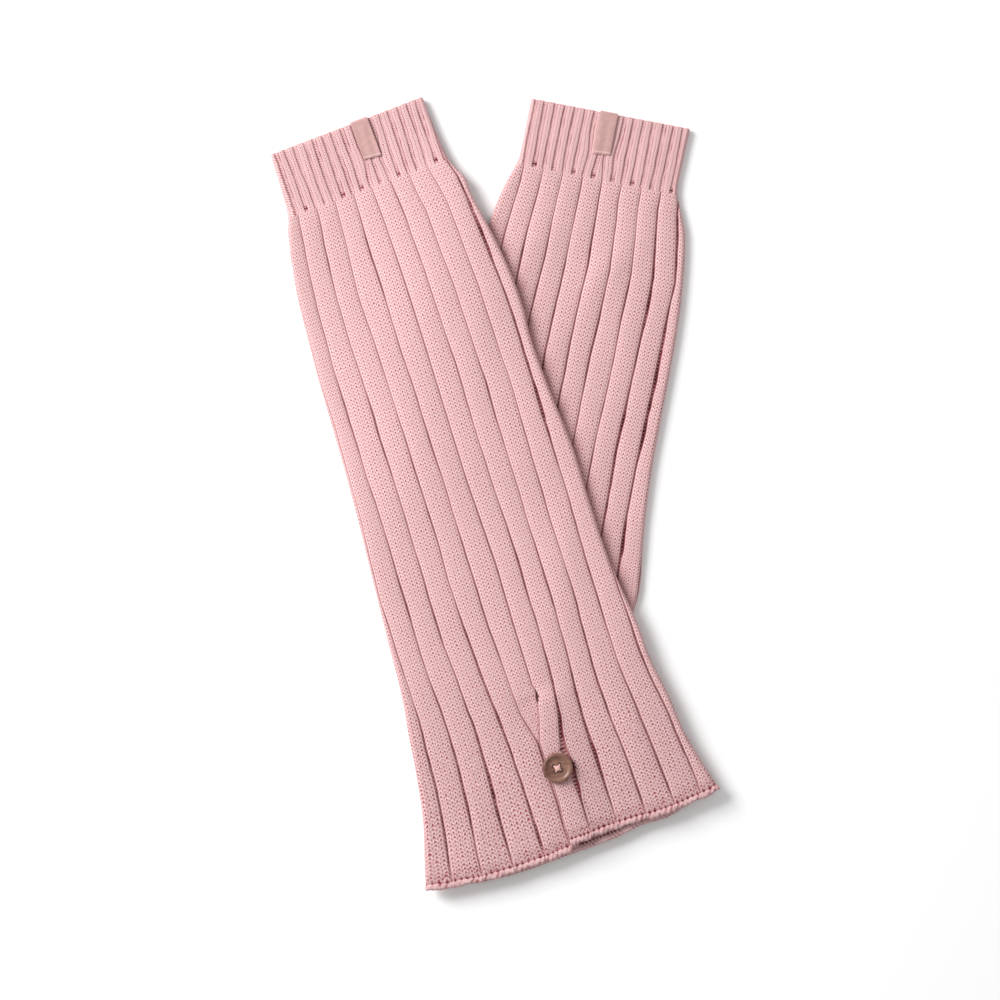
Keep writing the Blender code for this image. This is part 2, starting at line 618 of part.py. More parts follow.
def make_button(material):
    """A four-hole button: a turned profile with a raised rim, cut by four holes."""
    profile = (
        (0.0, 0.0),
        (BUTTON_RADIUS - BUTTON_EDGE, 0.0),
        (BUTTON_RADIUS, BUTTON_EDGE),
        (BUTTON_RADIUS, BUTTON_THICKNESS - BUTTON_EDGE),
        (BUTTON_RADIUS - BUTTON_EDGE, BUTTON_THICKNESS),
        (BUTTON_RECESS_RADIUS + BUTTON_EDGE, BUTTON_THICKNESS),
        (BUTTON_RECESS_RADIUS, BUTTON_THICKNESS - BUTTON_RECESS),
        (0.0, BUTTON_THICKNESS - BUTTON_RECESS),
    )
    builder = bmesh.new()
    points = [builder.verts.new(Vector((radius, 0.0, height)) * MM) for radius, height in profile]
    edges = [builder.edges.new(pair) for pair in zip(points, points[1:])]
    bmesh.ops.spin(builder, geom=points + edges, cent=(0.0, 0.0, 0.0), axis=(0.0, 0.0, 1.0),
                   angle=2.0 * math.pi, steps=ROUND_SEGMENTS, use_merge=True)
    bmesh.ops.remove_doubles(builder, verts=builder.verts, dist=0.01 * MM)
    button = add_object("vent_button", builder, material)

    cutter_builder = bmesh.new()
    for index in range(HOLE_COUNT):
        angle = math.radians(45.0 + 360.0 * index / HOLE_COUNT)
        offset = HOLE_OFFSET * math.sqrt(2.0)
        place = Vector((offset * math.cos(angle), offset * math.sin(angle), 0.0)) * MM
        bmesh.ops.create_cone(
            cutter_builder, cap_ends=True, segments=HOLE_SEGMENTS, radius1=HOLE_RADIUS * MM,
            radius2=HOLE_RADIUS * MM, depth=BUTTON_THICKNESS * 4.0 * MM,
            matrix=Matrix.Translation(place))
    cutter = add_object("button_hole_cutter", cutter_builder, material)
    cutter.hide_render = True
    cutter.display_type = "WIRE"
    cutter.parent = button
    cut = button.modifiers.new("Holes", "BOOLEAN")
    cut.operation = "DIFFERENCE"
    cut.solver = "EXACT"
    cut.object = cutter

    x, y = UPPER.place(BUTTON_ALONG, BUTTON_ACROSS)
    lap_top = BACK_WALL + SLOT + VENT_LIFT + GROOVE_WALL + RIB_RISE
    button.location = Vector((x, y, lap_top + resting_height(UPPER, x, y) + GAP)) * MM
    button.rotation_euler = (0.0, 0.0, math.radians(UPPER_TURNS[0].heading))
    return button


def main():
    for leftover in list(bpy.data.objects):
        bpy.data.objects.remove(leftover, do_unlink=True)
    knit = make_material("pink_knit", KNIT)
    tape = make_material("label_tape", TAPE)
    horn = make_material("button_horn", HORN)
    make_lower_body(knit)
    make_cuff("lower_cuff", LOWER, LOWER_CUFF_RIBS, knit)
    make_label(LOWER_LABEL, tape)
    make_upper_body(knit)
    make_cuff("upper_cuff", UPPER, UPPER_CUFF_RIBS, knit)
    make_label(UPPER_LABEL, tape)
    make_button(horn)


main()
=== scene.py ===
"""Finishes a pair of rib-knit leg warmers that lie flat and crossed.

Every knitted tube is one closed shell: ribs, purl grooves, stitches, side folds, bound-off hem
and inner face. The stitches' finer form, yarn and colour are in the knit's material. Tables and
sizes are millimetres, measured as in the model's frame: "along" runs down a leg warmer from its
cuff's edge, "across" runs over its width, positive to the right. MM turns them into metres.
"""

import math
from collections import namedtuple

import bmesh
import bpy
import numpy as np
from mathutils import Matrix, Vector


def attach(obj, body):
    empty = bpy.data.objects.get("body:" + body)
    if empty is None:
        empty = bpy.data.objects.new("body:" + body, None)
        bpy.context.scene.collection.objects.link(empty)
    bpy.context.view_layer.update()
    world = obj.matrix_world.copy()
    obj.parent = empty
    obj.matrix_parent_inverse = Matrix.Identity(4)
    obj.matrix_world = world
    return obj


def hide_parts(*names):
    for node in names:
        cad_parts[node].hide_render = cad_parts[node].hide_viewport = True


bl_info = {
    "name": "Leg Warmers",
    "version": (1, 0, 0),
    "blender": (4, 5, 0),
    "location": "3D View > Sidebar > Leg Warmers",
    "description": "Knitted shells, label tapes, vent button and stage for a pair of leg warmers",
    "category": "Object",
}

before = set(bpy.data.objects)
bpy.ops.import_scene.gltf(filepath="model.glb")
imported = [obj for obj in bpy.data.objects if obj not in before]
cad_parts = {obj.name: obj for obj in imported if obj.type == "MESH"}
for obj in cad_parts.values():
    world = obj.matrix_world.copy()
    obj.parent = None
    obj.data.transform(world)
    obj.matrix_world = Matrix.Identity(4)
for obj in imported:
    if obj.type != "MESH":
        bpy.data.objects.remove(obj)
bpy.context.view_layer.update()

MM = 0.001

# Walls of the flattened tube
BACK_WALL = 1.8          # thickness of the plain back
SLOT = 0.6               # between the pressed front and the back
GROOVE_WALL = 1.0        # thickness of the front at the bottom of a groove
FOLD_WALL = 1.8          # thickness at a side fold
FOLD_RADIUS = SLOT / 2.0 + FOLD_WALL
FLAT_HEIGHT = 4.7        # of one leg warmer, laid flat
GAP = 0.3                # kept between two pieces
FLAT_LEVEL = 0.45        # rib height where a finish or a fold presses the ribs flat
FOLD_FADE = 4.0          # distance over which a rib dies away under a side fold
FOLD_STEP = 0.11         # least spacing of columns that crowd at a fold
FOLD_TURN = 2.75         # how far round the side fold the front's columns reach, in radians
FOLD_RIBS = 0.25         # part of the ribs' height that is left half way round a side fold
BEYOND = 1.0             # how far past that reach the outermost groove lies
OUTER_RIB = 12.0         # least width of the upper one's outermost rib
INNER_BEAD = 0.45        # height of the bound-off bead on the inside of the back
EDGE_PART = 0.7          # part of a wall's thickness under which a ring is at its very edge
EDGE_LOSS = 0.35         # part of the back's thickness that is rounded away there
END_FADE = 2.0           # distance over which stitches and creases die away at an end
UNDER_FADE = 12.0        # the same for the creases underneath
JOIN_RUN = 2.6           # distance over which the cuff's ribs merge into the body's
NOTCH_RUN = 1.2          # the same for an odd groove of the cuff, which ends there in a pit
PIT_PLACE = 1.9          # how far before the cuff's end such a pit lies
PIT_RUN = 1.1
PIT_DEPTH = 0.3
SCALLOP = 0.5            # how far each rib stands out at a cuff's edge
SCALLOP_RUN = 3.0        # how far down the rounding of each rib's end at a cuff's edge goes
SCALLOP_FREE = 5.2       # how far from a label's middle the edge stays straight
SCALLOP_RISE = 1.5       # over what distance the scallops start beside it

# Darkness where light is shut out, and how far that reaches
FOLD_SHADE = 0.4         # side folds, painted shade
JOIN_PIT = 1.5           # pit where an odd groove of the cuff ends
INSIDE_SHADE = 0.6       # inside of the tube, away from its lower end
INSIDE_START = 3.0
INSIDE_RUN = 9.0
CROSSING_SHADE = 0.55    # lower one close under the edge of the upper one
CROSSING_SHADE_RUN = 6.5
LAP_SHADE = 0.9          # line along the lap's edge
LAP_SHADE_RUN = 0.4
BAND_SHADE = 0.6         # button band beside the lap
BAND_SHADE_RUN = 0.9
LABEL_SHADE_PLACE = 5.3  # from the tape's middle, just outside its edge
LABEL_SHADE_RUN = 0.5
LABEL_SHADE_END = 0.97   # part of the tape's length that it reaches down

# Lengths
LENGTH = 402.0
HIDDEN_LENGTH = 388.0
CUFF_LENGTH = 36.0
DRAPE_START = 4.0        # how far beside the lower one the upper one starts to come down
DRAPE_RUN = 76.0         # distance over which it comes down to the surface

# Vent
VENT_TOP = 316.0
VENT_LIFT = BACK_WALL + GAP
BAND_FLAT = 0.35         # rib height that the button band is pressed to under the lap
HEM_RUN = 60.0           # distance over which the hem's slant builds up
VENT_MIDDLE = -5.0       # across, where the back's hem changes from one table to the other
LUMP_HEIGHT = 0.2        # uneven lumps of the last rows of stitches above the hem
LUMP_PLACE = 5.2         # how far above the hem they are highest
LUMP_RUN = 2.4
RAGGED_RUN = 2.5         # distance over which the hem's raggedness builds up

# Knit
CELLS = 3                # columns of the mesh to a wale
BACK_COLUMNS = 12        # columns of the mesh over the back
CHEVRON = 0.7            # how far a stitch's legs fall from its middle to its side, in courses
WRAP_SLANT = 0.4         # slant of the bound-off loops, in wales to a course
STITCH_UNEVEN = 0.35     # how far stitches differ in height, as a part of it
PURL_HALF = 0.3          # half the width of a purl stitch, in wales
PURL_BAR = 0.12          # height of its bar
SINK_LEVEL = 0.3         # rib height under which a wide groove's purl wale sinks
SEAM_WALE = 0.4          # from the front's last column to the back's first, in wales
GAPING_START = 1.4       # groove width from which its purl wale shows between lines of holes
GAPING_RUN = 0.8
FLOOR_PLACE = 0.24       # from a groove's middle to the side of its floor, by its width
PINCHED_RUN = 0.55       # how much narrower than 1 a groove is that can't open at all
SINK_WIDTHS = (0.3, 1.2)  # groove widths between which it sinks more the wider the groove
GROOVE_DRIFT = 0.22      # how far a groove drifts sideways
DRIFT_START = 8.0        # distance from the cuff's end over which that drift grows to the full

# Rings of a shell: where they lie on the inside, counted from its lower end, and their spacing
INNER_ENDS = (0.3, 0.9, 1.7, 2.6, 3.4)
INNER_STEP = 24.0
INNER_CLEAR = 6.0        # how far from an end the plain ones stay
RING_STEP = 0.12         # least spacing on the outside
FINISH_REACH = 4.0       # how far from the lower end its finish has rings of its own
PLAIN_REACH = 4.4        # where the plain ones stop above them

MERGE_DISTANCE = 0.004
SHARP_ANGLE = 72.0       # degrees

# Share of the unit square that a shell's faces are baked into
BAKE_MARGIN = 0.004
BAKE_OUTER = 0.96        # the outer face ends here, down the square
BAKE_INNER = 0.965       # the inner face starts here
BAKE_LEAST = 0.15        # least weight of a column
BAKE_FOLD = 0.35         # weight of a column on a side fold
BAKE_BACK = 0.3          # weight of a column of the back, as a part of its width

# Stage, in metres
FLOOR_HALF = 4.0
KEY_SIZE = 1.05
KEY_PLACE = (-1.35, 0.77, 1.085)
KEY_AIM = (0.0, -0.8, 0.0)
FOCAL_LENGTH = 135.0     # millimetres, as is the rest of the camera
SENSOR_WIDTH = 36.0
VIEW_WIDTH = 536.0
VIEW_MIDDLE = (2.64, -3.21)
CLOTH_LEVEL = 6.0        # height above the surface that the view's width holds at

WAVE_LENGTH = 0.314      # from one band to the next of a wave texture whose scale is 1


def table(columns, *rows):
    """Named columns of numbers from rows."""
    values = np.array(rows, dtype=float)
    return {name: values[:, index] for index, name in enumerate(columns.split())}


UPPER_SECTIONS = table(
    "along left right lean",
    (0.0, 44.0, 43.5, 0.055),
    (20.0, 44.3, 44.7, 0.05),
    (36.0, 45.4, 46.4, 0.045),
    (42.0, 47.4, 48.9, 0.043),
    (48.0, 48.8, 51.8, 0.04),
    (57.0, 50.5, 52.4, 0.032),
    (79.0, 53.4, 56.6, 0.015),
    (101.0, 54.8, 59.6, 0.005),
    (122.0, 56.0, 60.4, 0.0),
    (139.0, 56.4, 59.3, 0.0),
    (167.0, 57.0, 60.4, 0.0),
    (202.0, 58.5, 63.0, 0.0),
    (234.0, 60.6, 62.6, 0.0),
    (267.0, 62.8, 63.4, 0.0),
    (302.0, 65.0, 67.3, 0.0),
    (322.0, 67.8, 68.2, 0.0),
    (343.0, 70.2, 71.4, 0.0),
    (365.0, 74.0, 73.6, 0.0),
    (386.0, 80.1, 78.2, 0.0),
    (402.0, 84.5, 82.6, 0.0),
)
LOWER_SECTIONS = table(
    "along left right lean",
    (0.0, 43.6, 43.6, 0.0),
    (18.0, 43.6, 43.0, 0.0),
    (30.0, 43.9, 42.9, 0.0),
    (36.0, 44.9, 43.7, 0.0),
    (45.0, 47.6, 47.4, 0.0),
    (56.0, 50.4, 51.6, 0.0),
    (77.0, 53.6, 55.0, 0.0),
    (99.0, 56.0, 57.1, 0.0),
    (121.0, 57.2, 58.0, 0.0),
    (150.0, 57.8, 58.5, 0.0),
    (180.0, 58.2, 59.1, 0.0),
    (207.0, 59.7, 61.0, 0.0),
    (232.0, 62.0, 63.6, 0.0),
    (252.0, 62.4, 64.8, 0.0),
    (275.0, 61.0, 62.2, 0.0),
    (300.0, 61.4, 60.2, 0.0),
    (330.0, 64.5, 61.5, 0.0),
    (360.0, 69.0, 66.0, 0.0),
    (388.0, 71.0, 69.0, 0.0),
)
# Heading of the centre line, in degrees from straight down, positive towards +X
UPPER_TURNS = table("along heading", (0.0, 17.7), (402.0, 17.7))
LOWER_TURNS = table(
    "along heading",
    (0.0, -10.9),
    (205.0, -11.6),
    (235.0, -10.0),
    (262.0, -4.0),
    (290.0, 7.0),
    (318.0, 17.0),
    (345.0, 20.5),
    (388.0, 19.5),
)

# Grooves across the upper front. The band is the right edge of the button band and the lap is
# the left edge of the rib over it; the lift is the part of the vent's rise that the lap has.
LEFT_GROOVES = ("g1", "g2", "g3", "g4", "g5", "band")
RIGHT_GROOVES = ("lap", "g7", "g8", "g9", "g10", "g11")
VENT_ROWS = table(
    "along g1 g2 g3 g4 g5 band lap g7 g8 g9 g10 g11 lift",
    (36.0, -46.0, -39.5, -29.0, -18.4, -7.8, 2.7, 2.7, 13.2, 23.8, 34.5, 45.6, 55.5, 0.0),
    (46.0, -48.5, -41.0, -29.5, -18.8, -7.8, 3.1, 3.1, 14.2, 24.7, 36.8, 48.3, 59.0, 0.0),
    (57.0, -52.0, -42.2, -30.8, -19.4, -8.2, 3.6, 3.6, 15.4, 26.9, 38.8, 49.8, 61.3, 0.0),
    (88.0, -53.5, -44.6, -33.4, -21.7, -8.6, 4.2, 4.2, 16.2, 28.0, 40.3, 52.4, 64.4, 0.0),
    (120.0, -55.2, -46.4, -34.0, -21.6, -9.1, 4.2, 4.2, 16.3, 28.8, 41.5, 53.6, 65.8, 0.0),
    (152.0, -55.2, -47.0, -33.5, -20.9, -8.4, 3.9, 3.9, 16.8, 29.4, 41.8, 53.8, 66.1, 0.0),
    (200.0, -57.1, -46.6, -34.0, -21.3, -8.9, 3.4, 3.4, 15.8, 28.1, 40.5, 52.8, 65.1, 0.0),
    (249.0, -60.2, -47.8, -34.8, -22.0, -9.0, 4.6, 4.6, 16.6, 28.0, 39.8, 51.9, 64.2, 0.0),
    (281.0, -60.2, -48.1, -35.0, -21.8, -9.2, 3.8, 3.8, 16.2, 27.6, 39.3, 51.2, 63.6, 0.0),
    (316.0, -60.0, -47.3, -33.7, -20.3, -8.2, 3.5, 3.5, 14.4, 25.5, 37.7, 50.8, 63.9, 0.0),
    (319.0, -60.1, -47.3, -33.6, -20.1, -8.0, 4.4, 4.4, 14.2, 25.3, 37.7, 50.9, 64.1, 0.1),
    (321.0, -60.2, -47.2, -33.4, -19.9, -7.8, 4.1, 4.9, 14.0, 25.1, 37.7, 51.0, 64.3, 0.3),
    (323.0, -60.3, -47.2, -33.3, -19.6, -7.6, 3.4, 4.5, 13.8, 25.0, 37.7, 51.1, 64.4, 0.6),
    (325.5, -60.5, -47.2, -33.1, -19.4, -7.4, 3.4, 3.5, 13.6, 24.8, 37.7, 51.3, 64.6, 0.9),
    (329.0, -60.7, -47.2, -33.0, -19.3, -7.1, 4.0, 2.7, 13.3, 24.7, 37.8, 51.5, 64.8, 1.0),
    (336.0, -61.0, -47.4, -33.0, -18.8, -5.4, 5.0, 1.0, 12.4, 24.5, 38.0, 52.3, 65.8, 1.0),
    (346.0, -61.7, -47.7, -33.3, -18.1, -2.8, 6.0, -2.0, 10.0, 24.4, 38.4, 53.4, 67.3, 1.0),
    (353.0, -62.3, -48.2, -33.5, -17.8, -2.8, 5.9, -2.0, 9.4, 24.3, 38.8, 54.1, 68.2, 1.0),
    (362.0, -63.5, -49.0, -33.9, -17.5, -2.8, 5.6, -1.9, 10.1, 24.3, 39.2, 54.8, 69.1, 1.0),
    (378.0, -66.0, -50.7, -35.0, -17.9, -2.9, 4.6, -2.0, 10.2, 24.4, 40.0, 55.7, 71.0, 1.0),
    (390.0, -68.2, -52.0, -35.5, -18.1, -3.6, 3.0, -2.8, 9.6, 24.4, 40.5, 56.3, 71.8, 1.0),
    (402.0, -69.8, -53.2, -35.8, -18.2, -3.4, 1.5, -2.6, 9.2, 24.0, 40.7, 56.8, 72.0, 1.0),
)
# How wide each of those grooves gapes, which also sets the painted shade of its purl stitches
UPPER_OPEN = table(
    "along g1 g2 g3 g4 g5 band lap g7 g8 g9 g10 g11",
    (45.0, 0.5, 0.4, 0.6, 0.5, 0.7, 0.55, 0.55, 0.6, 0.4, 0.5, 1.3, 1.2),
    (104.0, 0.5, 0.65, 0.6, 0.45, 0.8, 0.75, 0.75, 0.65, 0.55, 0.45, 1.45, 1.2),
    (168.0, 0.5, 0.65, 0.85, 0.75, 0.65, 0.6, 0.6, 0.55, 0.75, 0.55, 1.4, 1.2),
    (232.0, 0.6, 0.8, 0.7, 0.7, 0.8, 0.9, 0.9, 0.8, 0.6, 0.7, 0.8, 1.2),
    (297.0, 0.7, 0.9, 0.9, 1.1, 0.8, 0.8, 0.8, 1.1, 1.0, 0.9, 0.8, 0.8),
    (345.0, 1.1, 1.1, 1.4, 1.6, 0.8, 0.6, 0.6, 1.8, 1.5, 1.3, 1.0, 1.3),
    (358.0, 1.3, 1.2, 1.4, 1.6, 0.8, 0.6, 0.6, 3.6, 1.6, 1.2, 1.0, 1.4),
    (372.0, 1.4, 1.3, 1.5, 1.5, 0.8, 0.6, 0.6, 3.0, 1.4, 1.1, 1.2, 1.2),
    (396.0, 1.2, 1.1, 1.2, 1.1, 0.8, 0.6, 0.6, 1.0, 0.8, 0.7, 0.9, 0.6),
)
# Even ribs: the middle groove's place, the pitch of the grooves and how wide they gape
LOWER_RIBS = table(
    "along middle pitch open",
    (36.0, 2.4, 10.7, 0.8),
    (46.0, 2.3, 10.8, 0.8),
    (57.0, 2.7, 11.2, 0.9),
    (82.0, 3.6, 11.9, 1.1),
    (135.0, 2.6, 12.2, 1.2),
    (180.0, 2.5, 12.0, 1.1),
    (230.0, 3.2, 12.2, 1.0),
    (300.0, 1.0, 12.6, 0.9),
    (388.0, 0.0, 13.6, 1.0),
)
# How much wider the outer grooves of the lower one gape, by their number from the middle
LOWER_STRENGTH = ((-5, -4, -3, -1, 0, 2, 3, 4, 5), (1.15, 1.1, 1.05, 0.9, 0.7, 0.8, 1.05, 1.3, 1.4))
UPPER_CUFF_RIBS = table(
    "along middle pitch open", (0.0, 2.2, 5.4, 2.2), (36.0, 2.7, 5.3, 2.0))
LOWER_CUFF_RIBS = table(
    "along middle pitch open", (0.0, 2.6, 5.38, 2.2), (36.0, 2.4, 5.34, 2.0))
LOWER_RIB_REACH = 5
CUFF_RIB_REACH = 8

# Painted shade of gaps in the cloth beside the vent: the open end above the lap and a dropped
# stitch
VENT_PITS = table(
    "along across radius depth",
    (322.4, 4.4, 0.9, 2.0), (324.4, 3.7, 0.8, 1.8), (353.2, 7.9, 1.1, 2.0), (341.0, 9.6, 0.6, 0.8),
    (362.0, 12.2, 0.8, 1.8), (364.2, 11.8, 0.8, 2.0), (366.4, 11.2, 0.8, 1.8),
    (368.6, 10.3, 0.9, 2.2), (370.8, 9.7, 0.8, 2.0), (373.0, 9.4, 0.7, 1.5), (375.2, 9.3, 0.6, 1.2))

# Label tapes: the middle at the cuff's edge and at the sewn lower end, the length down the cuff,
# how far the fold stands past the edge, how crooked the lower end is, and how dark the cuff is
# beside it
Label = namedtuple("Label", "name cuff tube middle middle_end length reach crooked shadow")
LABEL_BEND = 0.6         # inner radius of the tape's bend over the edge
LABEL_DROP = 1.6         # how far the tape goes down in front of the edge
LABEL_ROWS = 30
LABEL_COLUMNS = 10
LABEL_DIP = 0.12         # how far the tape dips between the cuff's ribs, both ways
LABEL_DIP_PITCH = 5.35
LABEL_SEWN = 0.8         # part of the tape's length from which it is drawn down
LABEL_SEWN_DROP = 0.27
# How the cuff's grooves are drawn towards the sewn lower end: by what part, and over what
# distances across and along
DRAWN_PART = 0.5
DRAWN_ACROSS = 7.0
DRAWN_ALONG = 7.5

# Button
BUTTON_ALONG = 362.0
BUTTON_ACROSS = 3.0
BUTTON_RADIUS = 8.15
BUTTON_HOLE_RADIUS = 0.9
BUTTON_HOLE_OFFSET = 1.65          # from the button's middle, along each of its axes
BUTTON_STEPS = 64
HOLE_STEPS = 16
# Half of the turned outline, from the middle of the underside round to the recess
BUTTON_OUTLINE = table(
    "radius height",
    (3.6, 0.0), (6.9, 0.0), (7.55, 0.15), (8.0, 0.55), (8.15, 1.1), (8.08, 1.6), (7.8, 2.05),
    (7.3, 2.33), (6.8, 2.4), (6.35, 2.3), (5.9, 2.02), (5.5, 1.8), (5.0, 1.71), (3.6, 1.7),
)
THREAD_RADIUS = 0.26
THREAD_STRANDS = 2
THREAD_SPACING = 1.5     # between two strands, in radii
THREAD_SIDES = 8
THREAD_STEPS = 12        # along a strand's arch
THREAD_FLATNESS = 0.4    # height of a strand's arch, 1 is a half circle
KNOT_SIZE = (1.6, 1.45, 0.6)
KNOT_LIFT = 1.1          # of the knot's middle over the button's recess

# Creases: where each lies, how far and how wide it runs, its height, and its turn
# from the length of the leg warmer, in degrees
UPPER_CREASES = table(
    "along across run width height turn",
    (92.0, -30.0, 26.0, 9.0, 0.55, 24.0),
    (128.0, 33.0, 34.0, 11.0, 0.6, -18.0),
    (196.0, -12.0, 40.0, 12.0, 0.45, 9.0),
    (262.0, 38.0, 30.0, 10.0, 0.7, -28.0),
    (304.0, -42.0, 36.0, 13.0, 0.65, 31.0),
    (357.0, 46.0, 25.0, 9.0, 0.6, 12.0),
    (380.0, -50.0, 22.0, 8.0, 0.5, -14.0),
)
LOWER_CREASES = table(
    "along across run width height turn",
    (80.0, -30.0, 24.0, 11.0, 1.1, -18.0),
    (86.0, 14.0, 22.0, 9.0, 1.3, -20.0),
    (118.0, 34.0, 28.0, 10.0, 0.6, 16.0),
    (150.0, -8.0, 35.0, 12.0, 0.5, -8.0),
    (190.0, 28.0, 30.0, 9.0, 0.6, 22.0),
    (322.0, -20.0, 38.0, 14.0, 0.4, 12.0),
)
CUFF_CREASES = table(
    "along across run width height turn",
    (12.0, -22.0, 18.0, 8.0, 0.25, 10.0),
    (20.0, 27.0, 16.0, 7.0, 0.3, -12.0),
)
# The same for the walls that lie underneath
UNDER_CREASES = table(
    "along across run width height turn",
    (70.0, 18.0, 30.0, 8.0, 0.45, 14.0),
    (121.0, -25.0, 24.0, 7.0, 0.35, -32.0),
    (178.0, 6.0, 42.0, 9.0, 0.5, 8.0),
    (233.0, -34.0, 27.0, 10.0, 0.4, 21.0),
    (287.0, 29.0, 33.0, 8.0, 0.55, -17.0),
    (341.0, -14.0, 36.0, 11.0, 0.4, 5.0),
)

# Height of a wide rib over its width, from lip to lip: it rises at once out of the groove on its
# left and falls slowly under the next rib on its right. A narrow rib is flat, with two wales.
WIDE_PROFILE = table(
    "part height",
    (0.0, 0.6), (0.04, 0.76), (0.12, 0.88), (0.25, 0.97), (0.4, 1.0), (0.5, 0.99),
    (0.62, 0.95), (0.75, 0.87), (0.85, 0.77), (0.93, 0.64), (1.0, 0.4),
)
NARROW_PROFILE = table(
    "part height",
    (0.0, 0.72), (0.1, 0.93), (0.27, 1.0), (0.5, 0.92), (0.73, 1.0), (0.9, 0.9), (1.0, 0.62),
)
# Wales to a rib, darkness from a groove's left side to its right lip, the same where it gapes so
# wide that its purl wale shows between two lines of holes, rib profile, height of a groove's
# floor, how much higher it is in a groove too narrow to open, and how far a purl wale sinks in a
# wide one
Rib = namedtuple("Rib", "wales shade gaping profile floor pinched drop")
WIDE_RIB = Rib(5, (0.7, 0.9, 1.0, 0.3), (1.4, 0.8, 1.6, 1.3), WIDE_PROFILE, 0.0, 0.28, 0.4)
NARROW_RIB = Rib(2, (0.2, 0.1, 0.1, 0.3), (0.2, 0.1, 0.1, 0.3), NARROW_PROFILE, 0.3, 0.0, 0.0)

# Finishes: distance from an end, rib height there, height of the bound-off bead, and the part
# of the wall's thickness that is left as the end rounds over
PLAIN_START = table(
    "along rib bead full",
    (0.0, 0.55, 0.0, 1.0),
    (1.0, 0.62, 0.0, 1.0),
    (4.0, 0.85, 0.0, 1.0),
    (9.0, 1.0, 0.0, 1.0),
)
HEM_END = table(
    "along rib bead full",
    (0.0, 0.0, 0.1, 0.55),
    (0.25, 0.0, 0.5, 0.85),
    (0.7, 0.0, 0.85, 1.0),
    (1.4, 0.0, 1.0, 1.0),
    (2.2, 0.0, 0.95, 1.0),
    (2.9, 0.0, 0.55, 1.0),
    (3.4, 0.02, -0.25, 1.0),
    (5.0, 0.15, 0.0, 1.0),
    (8.0, 0.65, 0.0, 1.0),
    (12.5, 1.0, 0.0, 1.0),
)
CUFF_TOP = table(
    "along rib bead full",
    (0.0, 0.45, 0.0, 0.45),
    (0.25, 0.6, 0.0, 0.8),
    (0.8, 0.85, 0.0, 1.0),
    (2.0, 1.0, 0.0, 1.0),
)
# The cuff's lower end has no finish of its own, so these rows only say where its rings lie
CUFF_END = table(
    "along rib bead full",
    (0.0, 1.0, 0.0, 1.0),
    (0.4, 1.0, 0.0, 1.0),
    (0.8, 1.0, 0.0, 1.0),
    (1.2, 1.0, 0.0, 1.0),
    (2.0, 1.0, 0.0, 1.0),
)

# Upper hem: how far the front and the back wall reach past the length, across the hem
LEFT_HEM = table(
    "across front back",
    (-84.0, 2.1, 2.0),
    (-69.0, 4.5, 4.4),
    (-50.0, 6.7, 6.9),
    (-33.0, 7.0, 8.2),
    (-18.0, 6.6, 7.6),
    (-5.0, 5.6, 6.8),
    (0.0, 3.6, 6.7),
)
RIGHT_HEM = table(
    "across front back",
    (-5.0, 2.2, 6.8),
    (3.5, 1.9, 6.7),
    (19.0, 1.0, 5.8),
    (36.0, 1.0, 3.4),
    (44.0, 1.6, 1.8),
    (51.0, 1.6, 3.8),
    (60.0, 1.0, 1.4),
    (68.0, 0.0, 0.0),
    (77.0, -0.9, -0.9),
    (82.0, -3.0, -3.0),
)
# Height of the vent's lap over the rib beside it, by the part of that rib's width
LAP_FALL = table("part share", (0.0, 1.0), (0.2, 0.45), (0.8, 0.1), (1.0, 0.0))

# What a word of a formula stands for: kind of node, its inputs in order, and its settings. SHARE
# is a product that stays between 0 and 1.
FORMULA_NODES = {
    "RANGE": ("ShaderNodeMapRange", ("Value", "From Min", "From Max", "To Min", "To Max"),
              {"interpolation_type": "SMOOTHSTEP"}),
    "SHARE": ("ShaderNodeMath", (0, 1), {"operation": "MULTIPLY", "use_clamp": True}),
    "NOISE": ("ShaderNodeTexNoise", ("Vector", "Scale", "Detail", "Roughness"), {}),
    "POINT": ("ShaderNodeCombineXYZ", ("X", "Y"), {}),
    "WHITE_NOISE": ("ShaderNodeTexWhiteNoise", ("Vector",), {"noise_dimensions": "2D"}),
    "MIX": ("ShaderNodeMix", ("Factor", 6, 7), {"data_type": "RGBA"}),
    "SCALE": ("ShaderNodeVectorMath", (0, "Scale"), {"operation": "SCALE"}),
    "BUMP": ("ShaderNodeBump", ("Height", "Strength", "Distance"), {}),
}


def linear(hex_colour):
    """Linear RGB of an sRGB hex value such as E4B6B6."""
    channels = [int(hex_colour[index:index + 2], 16) / 255.0 for index in (0, 2, 4)]
    return tuple(
        value / 12.92 if value <= 0.04045 else ((value + 0.055) / 1.055) ** 2.4
        for value in channels)


def in_millimetres(size):
    """A size from the settings, without the rounding that comes of holding it in metres."""
    return round(size / MM, 6)


def soft_step(part):
    """Smooth rise from 0 to 1 as part goes from 0 to 1."""
    part = np.clip(part, 0.0, 1.0)
    return part * part * (3.0 - 2.0 * part)


def curve(rows, name, along):
    """A column of a table at distances along, on a smooth curve through its rows."""
    x = rows["along"]
    y = rows[name]
    slopes = np.concatenate((
        [(y[1] - y[0]) / (x[1] - x[0])],
        (y[2:] - y[:-2]) / (x[2:] - x[:-2]),
        [(y[-1] - y[-2]) / (x[-1] - x[-2])],
    ))
    at = np.clip(along, x[0], x[-1])
    index = np.clip(np.searchsorted(x, at, side="right") - 1, 0, len(x) - 2)
    span = x[index + 1] - x[index]
    part = (at - x[index]) / span
    square = part * part
    cube = square * part
    return ((2.0 * cube - 3.0 * square + 1.0) * y[index]
            + (cube - 2.0 * square + part) * slopes[index] * span
            + (3.0 * square - 2.0 * cube) * y[index + 1]
            + (cube - square) * slopes[index + 1] * span)


def straight(rows, name, along):
    """A column of a table at distances along, straight from row to row."""
    return np.interp(along, rows["along"], rows[name])


